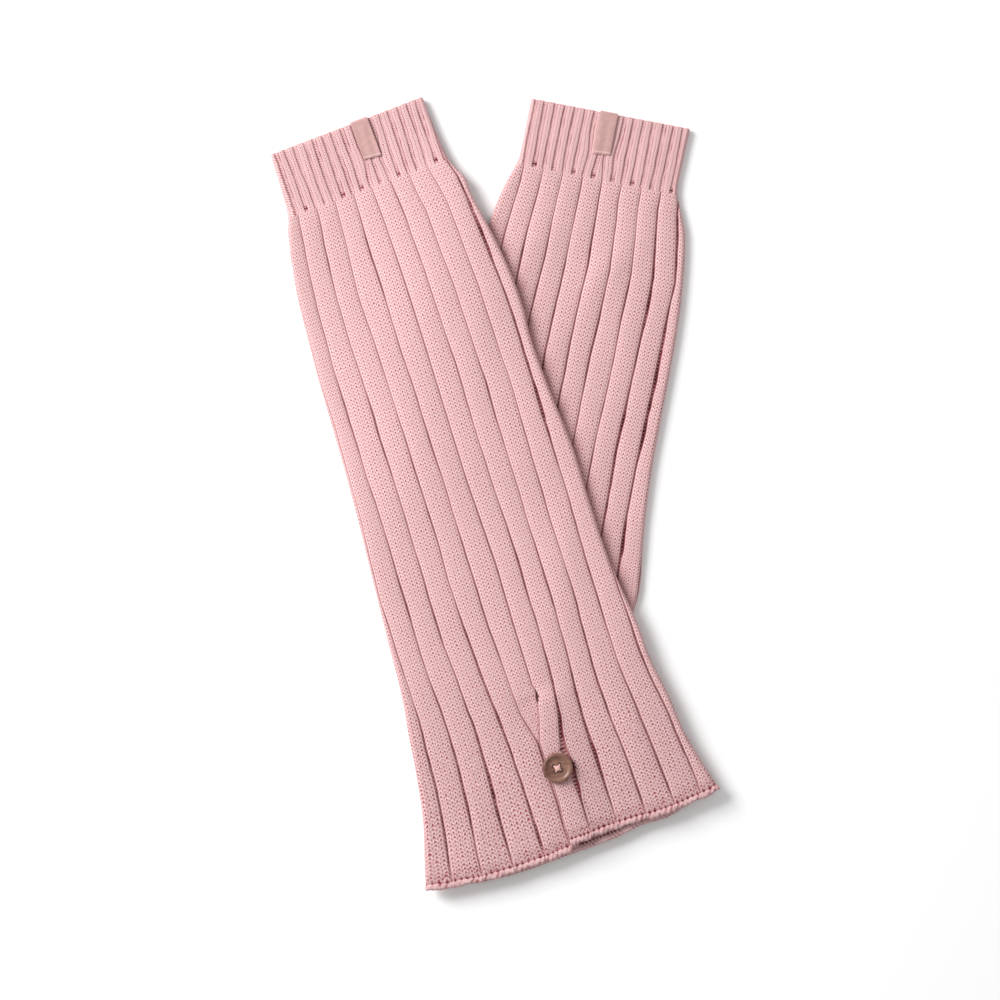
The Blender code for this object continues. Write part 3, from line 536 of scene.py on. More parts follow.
class FlatTube:
    """Where one leg warmer lies: its centre line on the surface, and its width."""

    STEP = 1.0
    BEFORE = 12.0

    def __init__(self, start_x, start_y, length, turns, sections):
        self.length = length
        self.sections = sections
        self.steps = np.arange(-self.BEFORE, length + self.BEFORE, self.STEP)
        self.headings = np.radians(curve(turns, "heading", self.steps))
        middles = np.radians(curve(turns, "heading", self.steps + 0.5 * self.STEP))
        x = np.concatenate(([0.0], np.cumsum(np.sin(middles) * self.STEP)[:-1]))
        y = np.concatenate(([0.0], np.cumsum(-np.cos(middles) * self.STEP)[:-1]))
        self.x = x - np.interp(0.0, self.steps, x) + start_x
        self.y = y - np.interp(0.0, self.steps, y) + start_y

    def half_width(self, side, along):
        return curve(self.sections, side, along)

    def place(self, along, across):
        """Points on the surface at distances along and across."""
        position = along - curve(self.sections, "lean", along) * across
        heading = np.interp(position, self.steps, self.headings)
        return (np.interp(position, self.steps, self.x) + np.cos(heading) * across,
                np.interp(position, self.steps, self.y) + np.sin(heading) * across)

    def outside(self, x, y):
        """How far points on the surface lie outside the outline, negative inside it."""
        inside = (self.steps >= 0.0) & (self.steps <= self.length)
        line_x = self.x[inside]
        line_y = self.y[inside]
        nearest = np.empty(x.shape, dtype=int)
        for row in range(len(x)):
            away = (x[row][:, None] - line_x) ** 2 + (y[row][:, None] - line_y) ** 2
            nearest[row] = away.argmin(axis=1)
        heading = self.headings[inside][nearest]
        across = (x - line_x[nearest]) * np.cos(heading) + (y - line_y[nearest]) * np.sin(heading)
        beyond = (x - line_x[nearest]) * np.sin(heading) - (y - line_y[nearest]) * np.cos(heading)
        along = self.steps[inside][nearest] + beyond
        sides = np.maximum(across - self.half_width("right", along),
                           -self.half_width("left", along) - across)
        return np.maximum(np.maximum(sides, -along), along - self.length)


JOINS = {}               # rib shapes that the cuffs run into, by cuff

UPPER = FlatTube(-79.48, 197.57, LENGTH, UPPER_TURNS, UPPER_SECTIONS)
LOWER = FlatTube(62.02, 203.87, HIDDEN_LENGTH, LOWER_TURNS, LOWER_SECTIONS)
UPPER_LABEL = Label("upper_label", "upper_cuff", UPPER, 6.9, 8.0, 20.9, 1.1, 0.5, 1.0)
LOWER_LABEL = Label("lower_label", "lower_cuff", LOWER, -0.8, -0.8, 22.2, 0.95, -0.35, 0.4)


def resting_height(tube, x, y):
    """Height of the surface under a leg warmer: the upper one drapes over the lower one."""
    if tube is LOWER:
        return np.zeros_like(x)
    away = LOWER.outside(x, y) - DRAPE_START
    return (FLAT_HEIGHT + GAP) * (1.0 - soft_step(away / DRAPE_RUN))


def stitch_relief(wale, course):
    """Height from -1 to 1 of a plain stitch: legs that fall away from its middle, and holes."""
    side = np.abs(2.0 * np.mod(wale + 0.5, 1.0) - 1.0)
    ridge = np.cos(2.0 * np.pi * (course - CHEVRON * side))
    depth = np.maximum(1.0 - 0.7 * soft_step(side / 0.5), 0.6 * soft_step((side - 0.6) / 0.4))
    return ridge * depth


def creased(rows, along, across):
    """Height of a wall's creases at distances along and across."""
    height = np.zeros(np.broadcast(along, across).shape)
    for index in range(len(rows["along"])):
        crease = {name: values[index] for name, values in rows.items()}
        turn = math.radians(crease["turn"])
        down = along - crease["along"]
        over = across - crease["across"]
        run = (down * math.cos(turn) + over * math.sin(turn)) / crease["run"]
        off = (over * math.cos(turn) - down * math.sin(turn)) / crease["width"]
        off = off + 0.25 * np.sin(2.2 * run + index)
        height += crease["height"] * np.exp(-run * run - off * off)
    return height


def waver(along, seed, size):
    """Slow uneven drift of a groove as it was knitted."""
    rng = np.random.default_rng(seed)
    drift = np.zeros_like(along)
    for length in (97.0, 53.0, 29.0, 13.0):
        drift += np.sin(along / length * 2.0 * np.pi + rng.uniform(0.0, 6.3)) * length
    return drift / 100.0 * size


def rib_columns(edges, gapes, kind):
    """Columns over the ribs between grooves, for every row of a shell.

    edges and gapes give each groove's place and width as an array over the rows. Returns arrays
    of rows by columns: place across, rib height, knit coordinate, how dark a groove is there, how
    wide it is up to 1.2, and the number of the groove that a column lies in, or of none.
    """
    wales = kind.wales
    parts = (np.arange(wales * CELLS) + 0.5) / (wales * CELLS)
    crown = np.interp(parts, kind.profile["part"], kind.profile["height"])
    floors = [kind.floor + kind.pinched * np.clip((1.0 - width) / PINCHED_RUN, 0.0, 1.0)
              for width in gapes]
    columns = []

    def add(place, height, knit, groove=-1, spot=0, part=1.0):
        width = gapes[groove] if groove >= 0 else 0.0
        wide = np.clip((width - GAPING_START) / GAPING_RUN, 0.0, 1.0)
        # Painted shade of the groove: by the spot across it, and by how wide it gapes
        depth = kind.shade[spot] * (1.0 - wide) + kind.gaping[spot] * wide
        dark = np.clip(0.28 + 0.65 * width, 0.0, 1.15) * np.clip(1.6 - 0.35 * width, 0.6, 1.0)
        flat = 0.0 * place
        columns.append((place, flat + height, flat + knit,
                        flat + depth * dark * part * (groove >= 0),
                        flat + np.clip(width, *SINK_WIDTHS), groove))

    last = len(edges) - 1
    add(edges[0], floors[0], 0.0, 0, 1)
    for index in range(last):
        start = edges[index] + 0.5 * gapes[index]
        end = edges[index + 1] - 0.5 * gapes[index + 1]
        unit = index * (wales + 1)
        add(edges[index] + FLOOR_PLACE * gapes[index], floors[index], unit + 0.25, index, 2)
        add(start, kind.profile["height"][0], unit + 0.5, index, 3)
        for part, height in zip(parts, crown):
            add(start + (end - start) * part, height, unit + 0.5 + wales * part)
        add(end, kind.profile["height"][-1], unit + wales + 0.5, index + 1, 0, 0.6)
        add(edges[index + 1] - FLOOR_PLACE * gapes[index + 1], floors[index + 1],
            unit + wales + 0.75, index + 1, 0)
    add(edges[-1], floors[-1], last * (wales + 1), last, 1)
    *by_row, grooves = zip(*columns)
    return (*(np.stack(values, axis=1) for values in by_row), np.array(grooves))


def hem_extra(rows, wall, across, along):
    """How much longer a wall of the upper body is than its length, near its hem."""
    places = rows["across"]
    inside = np.clip(across, places[0], places[-1])
    index = np.clip(np.searchsorted(places, inside, side="right") - 1, 0, len(places) - 2)
    part = soft_step((inside - places[index]) / (places[index + 1] - places[index]))
    extra = rows[wall][index] * (1.0 - part) + rows[wall][index + 1] * part
    return extra * soft_step((along - (LENGTH - HEM_RUN)) / HEM_RUN)


def off_join(along):
    """0 where cuff and body meet, so that their grooves meet too, and 1 away from there."""
    return np.clip(np.abs(along - CUFF_LENGTH) / DRIFT_START, 0.0, 1.0)


class ShellRows:
    """The rings of a shell in order: out along the outer face, then back along the inner one."""

    def __init__(self, start, end, course, start_finish, end_finish):
        steps = int(round((end - start) / course)) * 2
        begin = start + start_finish["along"][start_finish["full"] < 1.0]
        finish = end - end_finish["along"][end_finish["along"] < FINISH_REACH][::-1]
        first = start_finish["along"][1]
        last = end_finish["along"][-1] if len(finish) < 4 else PLAIN_REACH
        plain = np.linspace(start + first, end - last, steps)
        outer = np.unique(np.concatenate((begin, plain, finish, [start])))
        outer = outer[np.concatenate(([True], np.diff(outer) > RING_STEP))]
        if end > VENT_TOP:
            outer[np.abs(outer - VENT_TOP).argmin()] = VENT_TOP
        inner = np.concatenate((
            end - np.array(INNER_ENDS),
            np.arange(end - INNER_STEP, start + INNER_CLEAR, -INNER_STEP),
            [start + INNER_ENDS[0]],
        ))
        vent = [row for row in VENT_ROWS["along"] if VENT_TOP <= row < end - INNER_CLEAR]
        if end > VENT_TOP:
            inner = np.unique(np.concatenate((inner, vent)))[::-1]
        self.along = np.concatenate((outer, inner, outer[:1]))
        self.out = np.concatenate((np.ones(len(outer)), np.zeros(len(inner)), [1.0]))
        self.outer_count = len(outer)
        self.course = (self.along - end) / course
        from_start = self.along - start
        from_end = end - self.along
        near = from_start < from_end
        self.rib, self.bead, self.full = (
            np.where(near, straight(start_finish, name, from_start),
                     straight(end_finish, name, from_end))
            for name in ("rib", "bead", "full"))


def wrap_round(tube, along, places, side):
    """Bends columns that lie past the flat front round the side fold.

    Returns the flat part of each place, its turn from the top, where the column really is across
    the cloth, and what is kept there of the ribs.
    """
    sign = 1.0 if side == "right" else -1.0
    flat_end = tube.half_width(side, along)[:, None] - FOLD_RADIUS
    count = places.shape[1]
    outward = np.arange(count)[::-1] if side == "right" else np.arange(count)
    far = flat_end + FOLD_RADIUS * FOLD_TURN
    reach = np.minimum(places * sign, far - FOLD_STEP * outward)
    kept = soft_step((far - reach) / FOLD_FADE)
    flat = np.minimum(reach, flat_end)
    turn = (reach - flat) / FOLD_RADIUS
    return flat * sign, turn * sign, reach * sign, kept


def pattern_at(at, places, *patterns):
    """Patterns that are laid out at places, read where the columns really are."""
    return [np.stack([np.interp(at[row], places[row], pattern[row]) for row in range(len(at))])
            for pattern in patterns]


def bake_places(weights, rows):
    """Own share of the unit square for each column and row, so no two faces overlap."""
    across = np.concatenate(([0.0], np.cumsum(weights)))
    across = across / across[-1]
    outer = rows.outer_count
    down = np.empty(len(rows.along))
    down[:outer] = (rows.along[:outer] - rows.along[0]) / np.ptp(rows.along[:outer]) * BAKE_OUTER
    down[outer:] = np.linspace(BAKE_INNER, 1.0, len(rows.along) - outer)
    grid = np.stack(np.broadcast_arrays(across[None, :], down[:, None]), axis=2)
    return BAKE_MARGIN + (1.0 - 2.0 * BAKE_MARGIN) * grid


def knitted_shell(name, tube, rows, right, left, rise, kind, creases, vented=False, join=None,
                  label=None, seed=1):
    """One closed knitted wall, laid flat: front ribs, side folds, plain back and inner face.

    right and left each hold the grooves' places and widths on that half of the front. join is
    the shape of the ribs that this shell's ribs run into at its end. Beside its label the first
    edge is scalloped, each rib standing out a little. Returns the shell and the shape of its own
    first row of ribs.
    """
    stitch_height = in_millimetres(bpy.context.scene.leg_warmers.knit.stitch_height)
    along = rows.along
    down = along[:, None]
    out = rows.out[:, None]
    rib = rows.rib[:, None]
    bead = rows.bead[:, None]
    full = rows.full[:, None]
    start = along.min()
    end = along.max()
    share = straight(VENT_ROWS, "lift", along)[:, None] if vented else 0.0 * down
    lift = VENT_LIFT * share
    lap = right[0][0][:, None]
    wales = kind.wales
    wale_size = float(np.mean(right[0][2] - right[0][1])) / (wales + 1)
    inside = INSIDE_SHADE * soft_step((end - down - INSIDE_START) / INSIDE_RUN)
    pieces = {}
    first_ribs = {}
    for side, (edges, gapes) in (("right", right), ("left", left)):
        # depths is painted shade: in the grooves, at gaps, on folds and inside, and beside the
        # label and the upper one's edge
        places, heights, knits, painted_shade, widths, grooves = rib_columns(edges, gapes, kind)
        if side == "left":
            knits = knits - (len(edges) - 1) * (wales + 1)
        flat, turn, at, kept = wrap_round(tube, along, places, side)
        heights, knits, painted_shade, widths = pattern_at(at, places, heights, knits, painted_shade, widths)
        raised = np.zeros_like(places)
        if vented and side == "right":
            own = (places - edges[0][:, None]) / (edges[1] - edges[0])[:, None]
            beside = (places - edges[1][:, None]) / (edges[2] - edges[1])[:, None]
            fall = np.interp(beside, LAP_FALL["part"], LAP_FALL["share"])
            raised = np.where(own <= 1.0, 1.0, fall) * lift
            line = np.exp(-((places - lap) / LAP_SHADE_RUN) ** 2)
            painted_shade = np.maximum(painted_shade, LAP_SHADE * share * line)
        if vented and side == "left":
            band = places > edges[-2][:, None]
            heights = heights + (np.minimum(heights, BAND_FLAT) - heights) * band * soft_step(share)
            under = np.minimum(places - lap, 0.0) / BAND_SHADE_RUN
            painted_shade = np.maximum(painted_shade, BAND_SHADE * share * np.exp(-under * under) * band)
        if vented:
            for pit in zip(*VENT_PITS.values()):
                off = ((down - pit[0]) ** 2 + (places - pit[1]) ** 2) / pit[2] ** 2
                painted_shade = np.maximum(painted_shade, pit[3] * np.exp(-off * off))
        level = FLAT_LEVEL + (heights - FLAT_LEVEL) * kept * rib
        wraps = np.cos(2.0 * np.pi * (knits + WRAP_SLANT * rows.course[:, None]))
        lumps = 1.0 + 0.15 * wraps + 0.25 * np.sin(0.9 * knits) + 0.25 * np.sin(2.3 * knits)
        wall = GROOVE_WALL + rise * level + bead * np.where(bead > 0.0, lumps, 1.0)
        sunk = kind.drop * widths * np.clip(1.0 - heights / SINK_LEVEL, 0.0, 1.0)
        wall = wall - sunk * kept * rib
        turned = np.clip(np.abs(turn), 0.0, math.pi)
        toward_top = np.maximum(np.cos(turned), 0.0)
        ribs_kept = np.maximum(toward_top, FOLD_RIBS * np.sin(turned))
        wall = FOLD_WALL + (wall - FOLD_WALL) * ribs_kept
        near_ends = np.clip(np.minimum(down - start, end - down) / END_FADE, 0.0, 1.0)
        if join is not None:
            middle = 0 if side == "right" else len(edges) - 1
            notched = (grooves >= 0) & ((grooves - middle) % 2 == 1)
            own_run = np.where(notched, NOTCH_RUN, JOIN_RUN)
            part = soft_step((down - end + own_run) / own_run)
            pit = np.exp(-((down - end + PIT_PLACE) / PIT_RUN) ** 2) * notched
            wall = wall * (1.0 - part) + np.interp(at, *join[side]) * part
            wall = wall - PIT_DEPTH * pit * kept
            pit = pit * (0.62 + 0.38 * np.sin(1.9 * grooves + (1.2 if side == "right" else 4.0)))
            painted_shade = np.maximum(painted_shade * (1.0 - part), JOIN_PIT * pit)
        first_ribs[side] = (at[0], wall[0])
        course = rows.course[:, None] + 0.0 * places
        rng = np.random.default_rng(seed + (side == "left"))
        relief = stitch_relief(knits, course) * stitch_height
        uneven = rng.standard_normal(places.shape).clip(-2.0, 2.0)
        relief *= 1.0 + STITCH_UNEVEN * uneven
        unit = wales + 1.0
        from_purl = np.abs(np.mod(knits + 0.5 * unit, unit) - 0.5 * unit)
        bars = PURL_BAR * np.cos(2.0 * np.pi * course)
        relief = np.where(from_purl < PURL_HALF, bars, relief)
        if vented:
            # Stitches of the last rows before the bound-off hem stand up in uneven lumps
            near_hem = np.exp(-((down - end + LUMP_PLACE) / LUMP_RUN) ** 2)
            relief += LUMP_HEIGHT * (uneven + wraps) * near_hem
        relief *= kept * (bead == 0.0) * (full == 1.0)
        wall = (wall + relief * toward_top * near_ends) * full * out
        raised = raised + creased(creases, down, at) * toward_top * near_ends
        extra = np.zeros_like(places)
        if vented:
            table_of_hem = RIGHT_HEM if side == "right" else LEFT_HEM
            extra = hem_extra(table_of_hem, "front", flat, down)
            ragged = 0.2 * wraps + 0.35 * np.sin(1.7 * knits) + 0.3 * np.sin(0.61 * knits + 1.0)
            extra += ragged * soft_step((down - end + RAGGED_RUN) / RAGGED_RUN) * kept
        if label is not None:
            free = soft_step((np.abs(at - label.middle) - SCALLOP_FREE) / SCALLOP_RISE)
            fade = 1.0 - soft_step((down - start) / SCALLOP_RUN)
            extra -= SCALLOP * heights * kept * free * fade
            part = down / label.length
            tape_middle = label.middle * (1.0 - part) + label.middle_end * part
            beside = (at - tape_middle - LABEL_SHADE_PLACE) / LABEL_SHADE_RUN
            dark = label.shadow * np.exp(-beside ** 2) * (part < LABEL_SHADE_END)
            painted_shade = np.maximum(painted_shade, dark)
        ends = np.clip(rib * 1.4, 0.0, 1.0) if vented else 1.0
        # Folds get a little painted shade, and the inside is painted dark as it lies in shade
        painted_shade = np.maximum(painted_shade * kept * ends, FOLD_SHADE * np.sin(turned))
        painted_shade = np.where(out > 0.0, painted_shade, inside)
        if tube is LOWER:
            x, y = tube.place(down, at)
            beside = np.maximum(UPPER.outside(x, y), 0.0) / CROSSING_SHADE_RUN
            painted_shade = np.maximum(painted_shade, CROSSING_SHADE * np.exp(-beside * beside) * (out > 0.0))
        pieces[side] = dict(
            flat=flat, turn=turn, wall=wall, raised=raised, knit=knits, depth=painted_shade, extra=extra)
    # Back
    right_end = tube.half_width("right", down) - SLOT / 2.0 - FOLD_WALL
    left_end = tube.half_width("left", down) - SLOT / 2.0 - FOLD_WALL
    part = np.linspace(0.0, 1.0, BACK_COLUMNS)[None, :]
    back_flat = right_end * (1.0 - part) - left_end * part
    back_extra = np.zeros_like(back_flat)
    if vented:
        back_extra = np.where(
            back_flat > VENT_MIDDLE,
            hem_extra(RIGHT_HEM, "back", back_flat, down),
            hem_extra(LEFT_HEM, "back", back_flat, down))
    inner_bead = np.where(out > 0.0, 0.0, -INNER_BEAD * np.clip(bead, 0.0, 1.0))
    back_full = 1.0 - EDGE_LOSS * (full < EDGE_PART)
    back_ends = np.clip(np.minimum(down - start, end - down) / UNDER_FADE, 0.0, 1.0) * out
    under = creased(UNDER_CREASES, down, back_flat) * back_ends * np.sin(np.pi * part)
    back_wall = BACK_WALL * back_full * out + inner_bead - under
    back_wales = (right_end + left_end) / wale_size
    knit_end = pieces["right"]["knit"][:, -1:] + SEAM_WALE
    back = dict(
        flat=back_flat, turn=np.full_like(back_flat, math.pi), wall=back_wall,
        raised=np.zeros_like(back_flat), knit=knit_end + part * back_wales,
        depth=np.where(out > 0.0, 0.0, inside) + 0.0 * back_flat, extra=back_extra)
    # The back ends in a seam of the pattern, so the left half starts with its own last column
    seam = {key: values[:, -1:] for key, values in back.items()}
    seam["knit"] = pieces["left"]["knit"][:, :1] - SEAM_WALE
    parts_round = (pieces["right"], back, seam, pieces["left"])
    joined = {key: np.concatenate([piece[key] for piece in parts_round], axis=1)
              for key in pieces["right"]}
    # Edges of the vent on the outer and the inner face, and its top
    chain = np.zeros(joined["flat"].shape, dtype=int)
    if vented:
        below = along > VENT_TOP + 0.01
        top = np.abs(along - VENT_TOP) <= 0.01
        for column, first in ((0, 1), (-1, 3)):
            chain[below, column] = np.where(rows.out[below] > 0.0, first, first + 1)
            chain[top, column] = np.where(rows.out[top] > 0.0, 5, 6)
    radius = SLOT / 2.0 + joined["wall"]
    across = joined["flat"] + radius * np.sin(joined["turn"])
    x, y = tube.place(down + joined["extra"], across)
    height = BACK_WALL + SLOT / 2.0 + radius * np.cos(joined["turn"])
    height = height + joined["raised"] + resting_height(tube, x, y)
    points = np.stack((x, y, height), axis=2) * MM
    points[-1] = points[0]
    middle = len(along) // 2
    widths = np.maximum(np.abs(np.diff(across[middle])), BAKE_LEAST)
    widths = np.where(np.abs(np.diff(joined["turn"][middle])) > 0.0, BAKE_FOLD, widths)
    widths = np.where(joined["turn"][middle][1:] >= math.pi, BAKE_BACK * widths, widths)
    knit = np.stack((joined["knit"], rows.course[:, None] + 0.0 * across), axis=2)
    made = shell_object(name, points, knit, bake_places(widths, rows), joined["depth"], chain)
    across_order = {side: np.argsort(shape[0]) for side, shape in first_ribs.items()}
    return made, {side: (shape[0][across_order[side]], shape[1][across_order[side]])
                  for side, shape in first_ribs.items()}


def shell_object(name, points, knit, bake, depth, chain):
    """A grid taken to the shell's points, joined where its edges meet, its vent's edges closed."""
    row_count, column_count = depth.shape
    builder = bmesh.new()
    bmesh.ops.create_grid(
        builder, x_segments=column_count - 1, y_segments=row_count - 1, size=1.0)
    mesh = bpy.data.meshes.new(name)
    builder.to_mesh(mesh)
    builder.free()
    flat = np.empty(len(mesh.vertices) * 3)
    mesh.vertices.foreach_get("co", flat)
    flat = flat.reshape(-1, 3)
    column = np.rint((flat[:, 0] + 1.0) / 2.0 * (column_count - 1)).astype(int)
    row = np.rint((flat[:, 1] + 1.0) / 2.0 * (row_count - 1)).astype(int)
    mesh.vertices.foreach_set("co", points[row, column].ravel())
    corner = np.empty(len(mesh.loops), dtype=int)
    mesh.loops.foreach_get("vertex_index", corner)
    for layer_name, places in (("knit", knit), ("OFBake", bake)):
        layer = mesh.uv_layers.new(name=layer_name)
        layer.data.foreach_set("uv", places[row[corner], column[corner]].ravel())
    # The groove attribute holds painted shade for the knit's material
    attribute = mesh.attributes.new("groove", "FLOAT", "POINT")
    attribute.data.foreach_set("value", depth[row, column].ravel())
    builder = bmesh.new()
    builder.from_mesh(mesh)
    part_of = builder.verts.layers.int.new("chain")
    for vertex, value in zip(builder.verts, chain[row, column].tolist()):
        vertex[part_of] = value
    bmesh.ops.remove_doubles(builder, verts=builder.verts, dist=MERGE_DISTANCE * MM)
    open_edges = [edge for edge in builder.edges if edge.is_boundary]
    for outer, inner in ((1, 2), (3, 4)):
        sides = ({outer, 5}, {inner, 6})
        picked = [edge for edge in open_edges
                  if any({vertex[part_of] for vertex in edge.verts} <= side for side in sides)]
        if picked:
            bmesh.ops.bridge_loops(builder, edges=picked)
    builder.verts.layers.int.remove(part_of)
    bmesh.ops.recalc_face_normals(builder, faces=builder.faces)
    builder.to_mesh(mesh)
    builder.free()
    mesh.shade_smooth()
    mesh.set_sharp_from_angle(angle=math.radians(SHARP_ANGLE))
    made = bpy.data.objects.new(name, mesh)
    bpy.context.scene.collection.objects.link(made)
    return made


def drawn_in(edge, along, label):
    """How far a groove is drawn towards the sewn lower end of a label."""
    off = edge - label.middle
    down = (along - label.length) / DRAWN_ALONG
    return -DRAWN_PART * off * np.exp(-(off / DRAWN_ACROSS) ** 2 - down ** 2)


def even_edges(tube, ribs, along, reach, seed, label=None):
    """Grooves at an even pitch, with a little drift, as right and left halves."""
    middle = straight(ribs, "middle", along)
    pitch = straight(ribs, "pitch", along)
    gape = straight(ribs, "open", along)
    edges = []
    gapes = []
    for index in range(-reach, reach + 1):
        edge = middle + pitch * index + waver(along, seed + index, GROOVE_DRIFT) * off_join(along)
        edges.append(edge if label is None else edge + drawn_in(edge, along, label))
        rng = np.random.default_rng(seed + 50 + index)
        change = 1.0 + 0.35 * rng.uniform(-1.0, 1.0) + 0.25 * waver(along, seed + 90 + index, 1.0)
        strength = np.interp(index, *LOWER_STRENGTH) if label is None else 1.0
        gapes.append(np.clip(gape * change * strength, 0.35, 2.4))
    right_far = tube.half_width("right", along) + FOLD_RADIUS * FOLD_TURN + BEYOND
    left_far = -tube.half_width("left", along) - FOLD_RADIUS * FOLD_TURN - BEYOND
    right = (edges[reach:] + [np.maximum(right_far, edges[-1] + pitch)], gapes[reach:] + [gape])
    left = ([np.minimum(left_far, edges[0] - pitch)] + edges[:reach + 1],
            [gape] + gapes[:reach + 1])
    return right, left


def vent_edges(along, seed):
    """Grooves of the upper body as right and left halves, which part at the vent."""
    halves = []
    for names, side, sign in ((RIGHT_GROOVES, "right", 1.0), (LEFT_GROOVES, "left", -1.0)):
        edges = []
        gapes = []
        for index, name in enumerate(names):
            # Lap and band are one groove above the vent, so they stay as their tables say
            free = 0.0 if name in ("lap", "band") else 1.0
            drift = waver(along, seed + index + 20 * (side == "left"), GROOVE_DRIFT)
            edges.append(straight(VENT_ROWS, name, along) + free * drift * off_join(along))
            change = 1.0 + free * 0.25 * waver(along, seed + 70 + index, 1.0)
            gapes.append(np.clip(straight(UPPER_OPEN, name, along) * change, 0.35, 4.0))
        far = sign * (UPPER.half_width(side, along) + FOLD_RADIUS * FOLD_TURN + BEYOND)
        if side == "right":
            edges.append(np.maximum(far, edges[-1] + OUTER_RIB))
            gapes.append(gapes[-1])
        else:
            edges.insert(0, np.minimum(far, edges[0] - OUTER_RIB))
            gapes.insert(0, gapes[0])
        halves.append((edges, gapes))
    return halves


def fill_inputs(tree, node, inputs):
    """Gives a node's inputs their values and links."""
    for key, value in inputs.items():
        if isinstance(value, bpy.types.NodeSocket):
            tree.links.new(value, node.inputs[key])
        else:
            node.inputs[key].default_value = value


def add_node(tree, kind, inputs=None, **settings):
    """Adds a node with its settings, its input values and its links."""
    made = tree.nodes.new(kind)
    for name, value in settings.items():
        setattr(made, name, value)
    fill_inputs(tree, made, inputs or {})
    return made


def add_formula(tree, named, formula):
    """Adds the nodes of a formula and returns its result.

    A formula is a name out of named, a number, or a word with the formulas of its inputs. The
    word is one of FORMULA_NODES or else the operation of a maths node.
    """
    if isinstance(formula, str):
        return named[formula]
    if not isinstance(formula, tuple):
        return formula
    word, *parts = formula
    kind, inputs, settings = FORMULA_NODES.get(
        word, ("ShaderNodeMath", range(len(parts)), {"operation": word}))
    values = [add_formula(tree, named, part) for part in parts]
    made = add_node(tree, kind, dict(zip(inputs, values)), **settings)
    return next(output for output in made.outputs if output.enabled)


def waves(value):
    """Formula that is 0 at each whole number and 1 half way between them."""
    return ("MULTIPLY_ADD", ("COSINE", ("MULTIPLY", value, 2.0 * math.pi)), -0.5, 0.5)


def empty_material(name):
    """A material with only a Principled shader and its output."""
    material = bpy.data.materials.new(name)
    material.use_nodes = True
    tree = material.node_tree
    return material, tree, tree.nodes["Principled BSDF"]


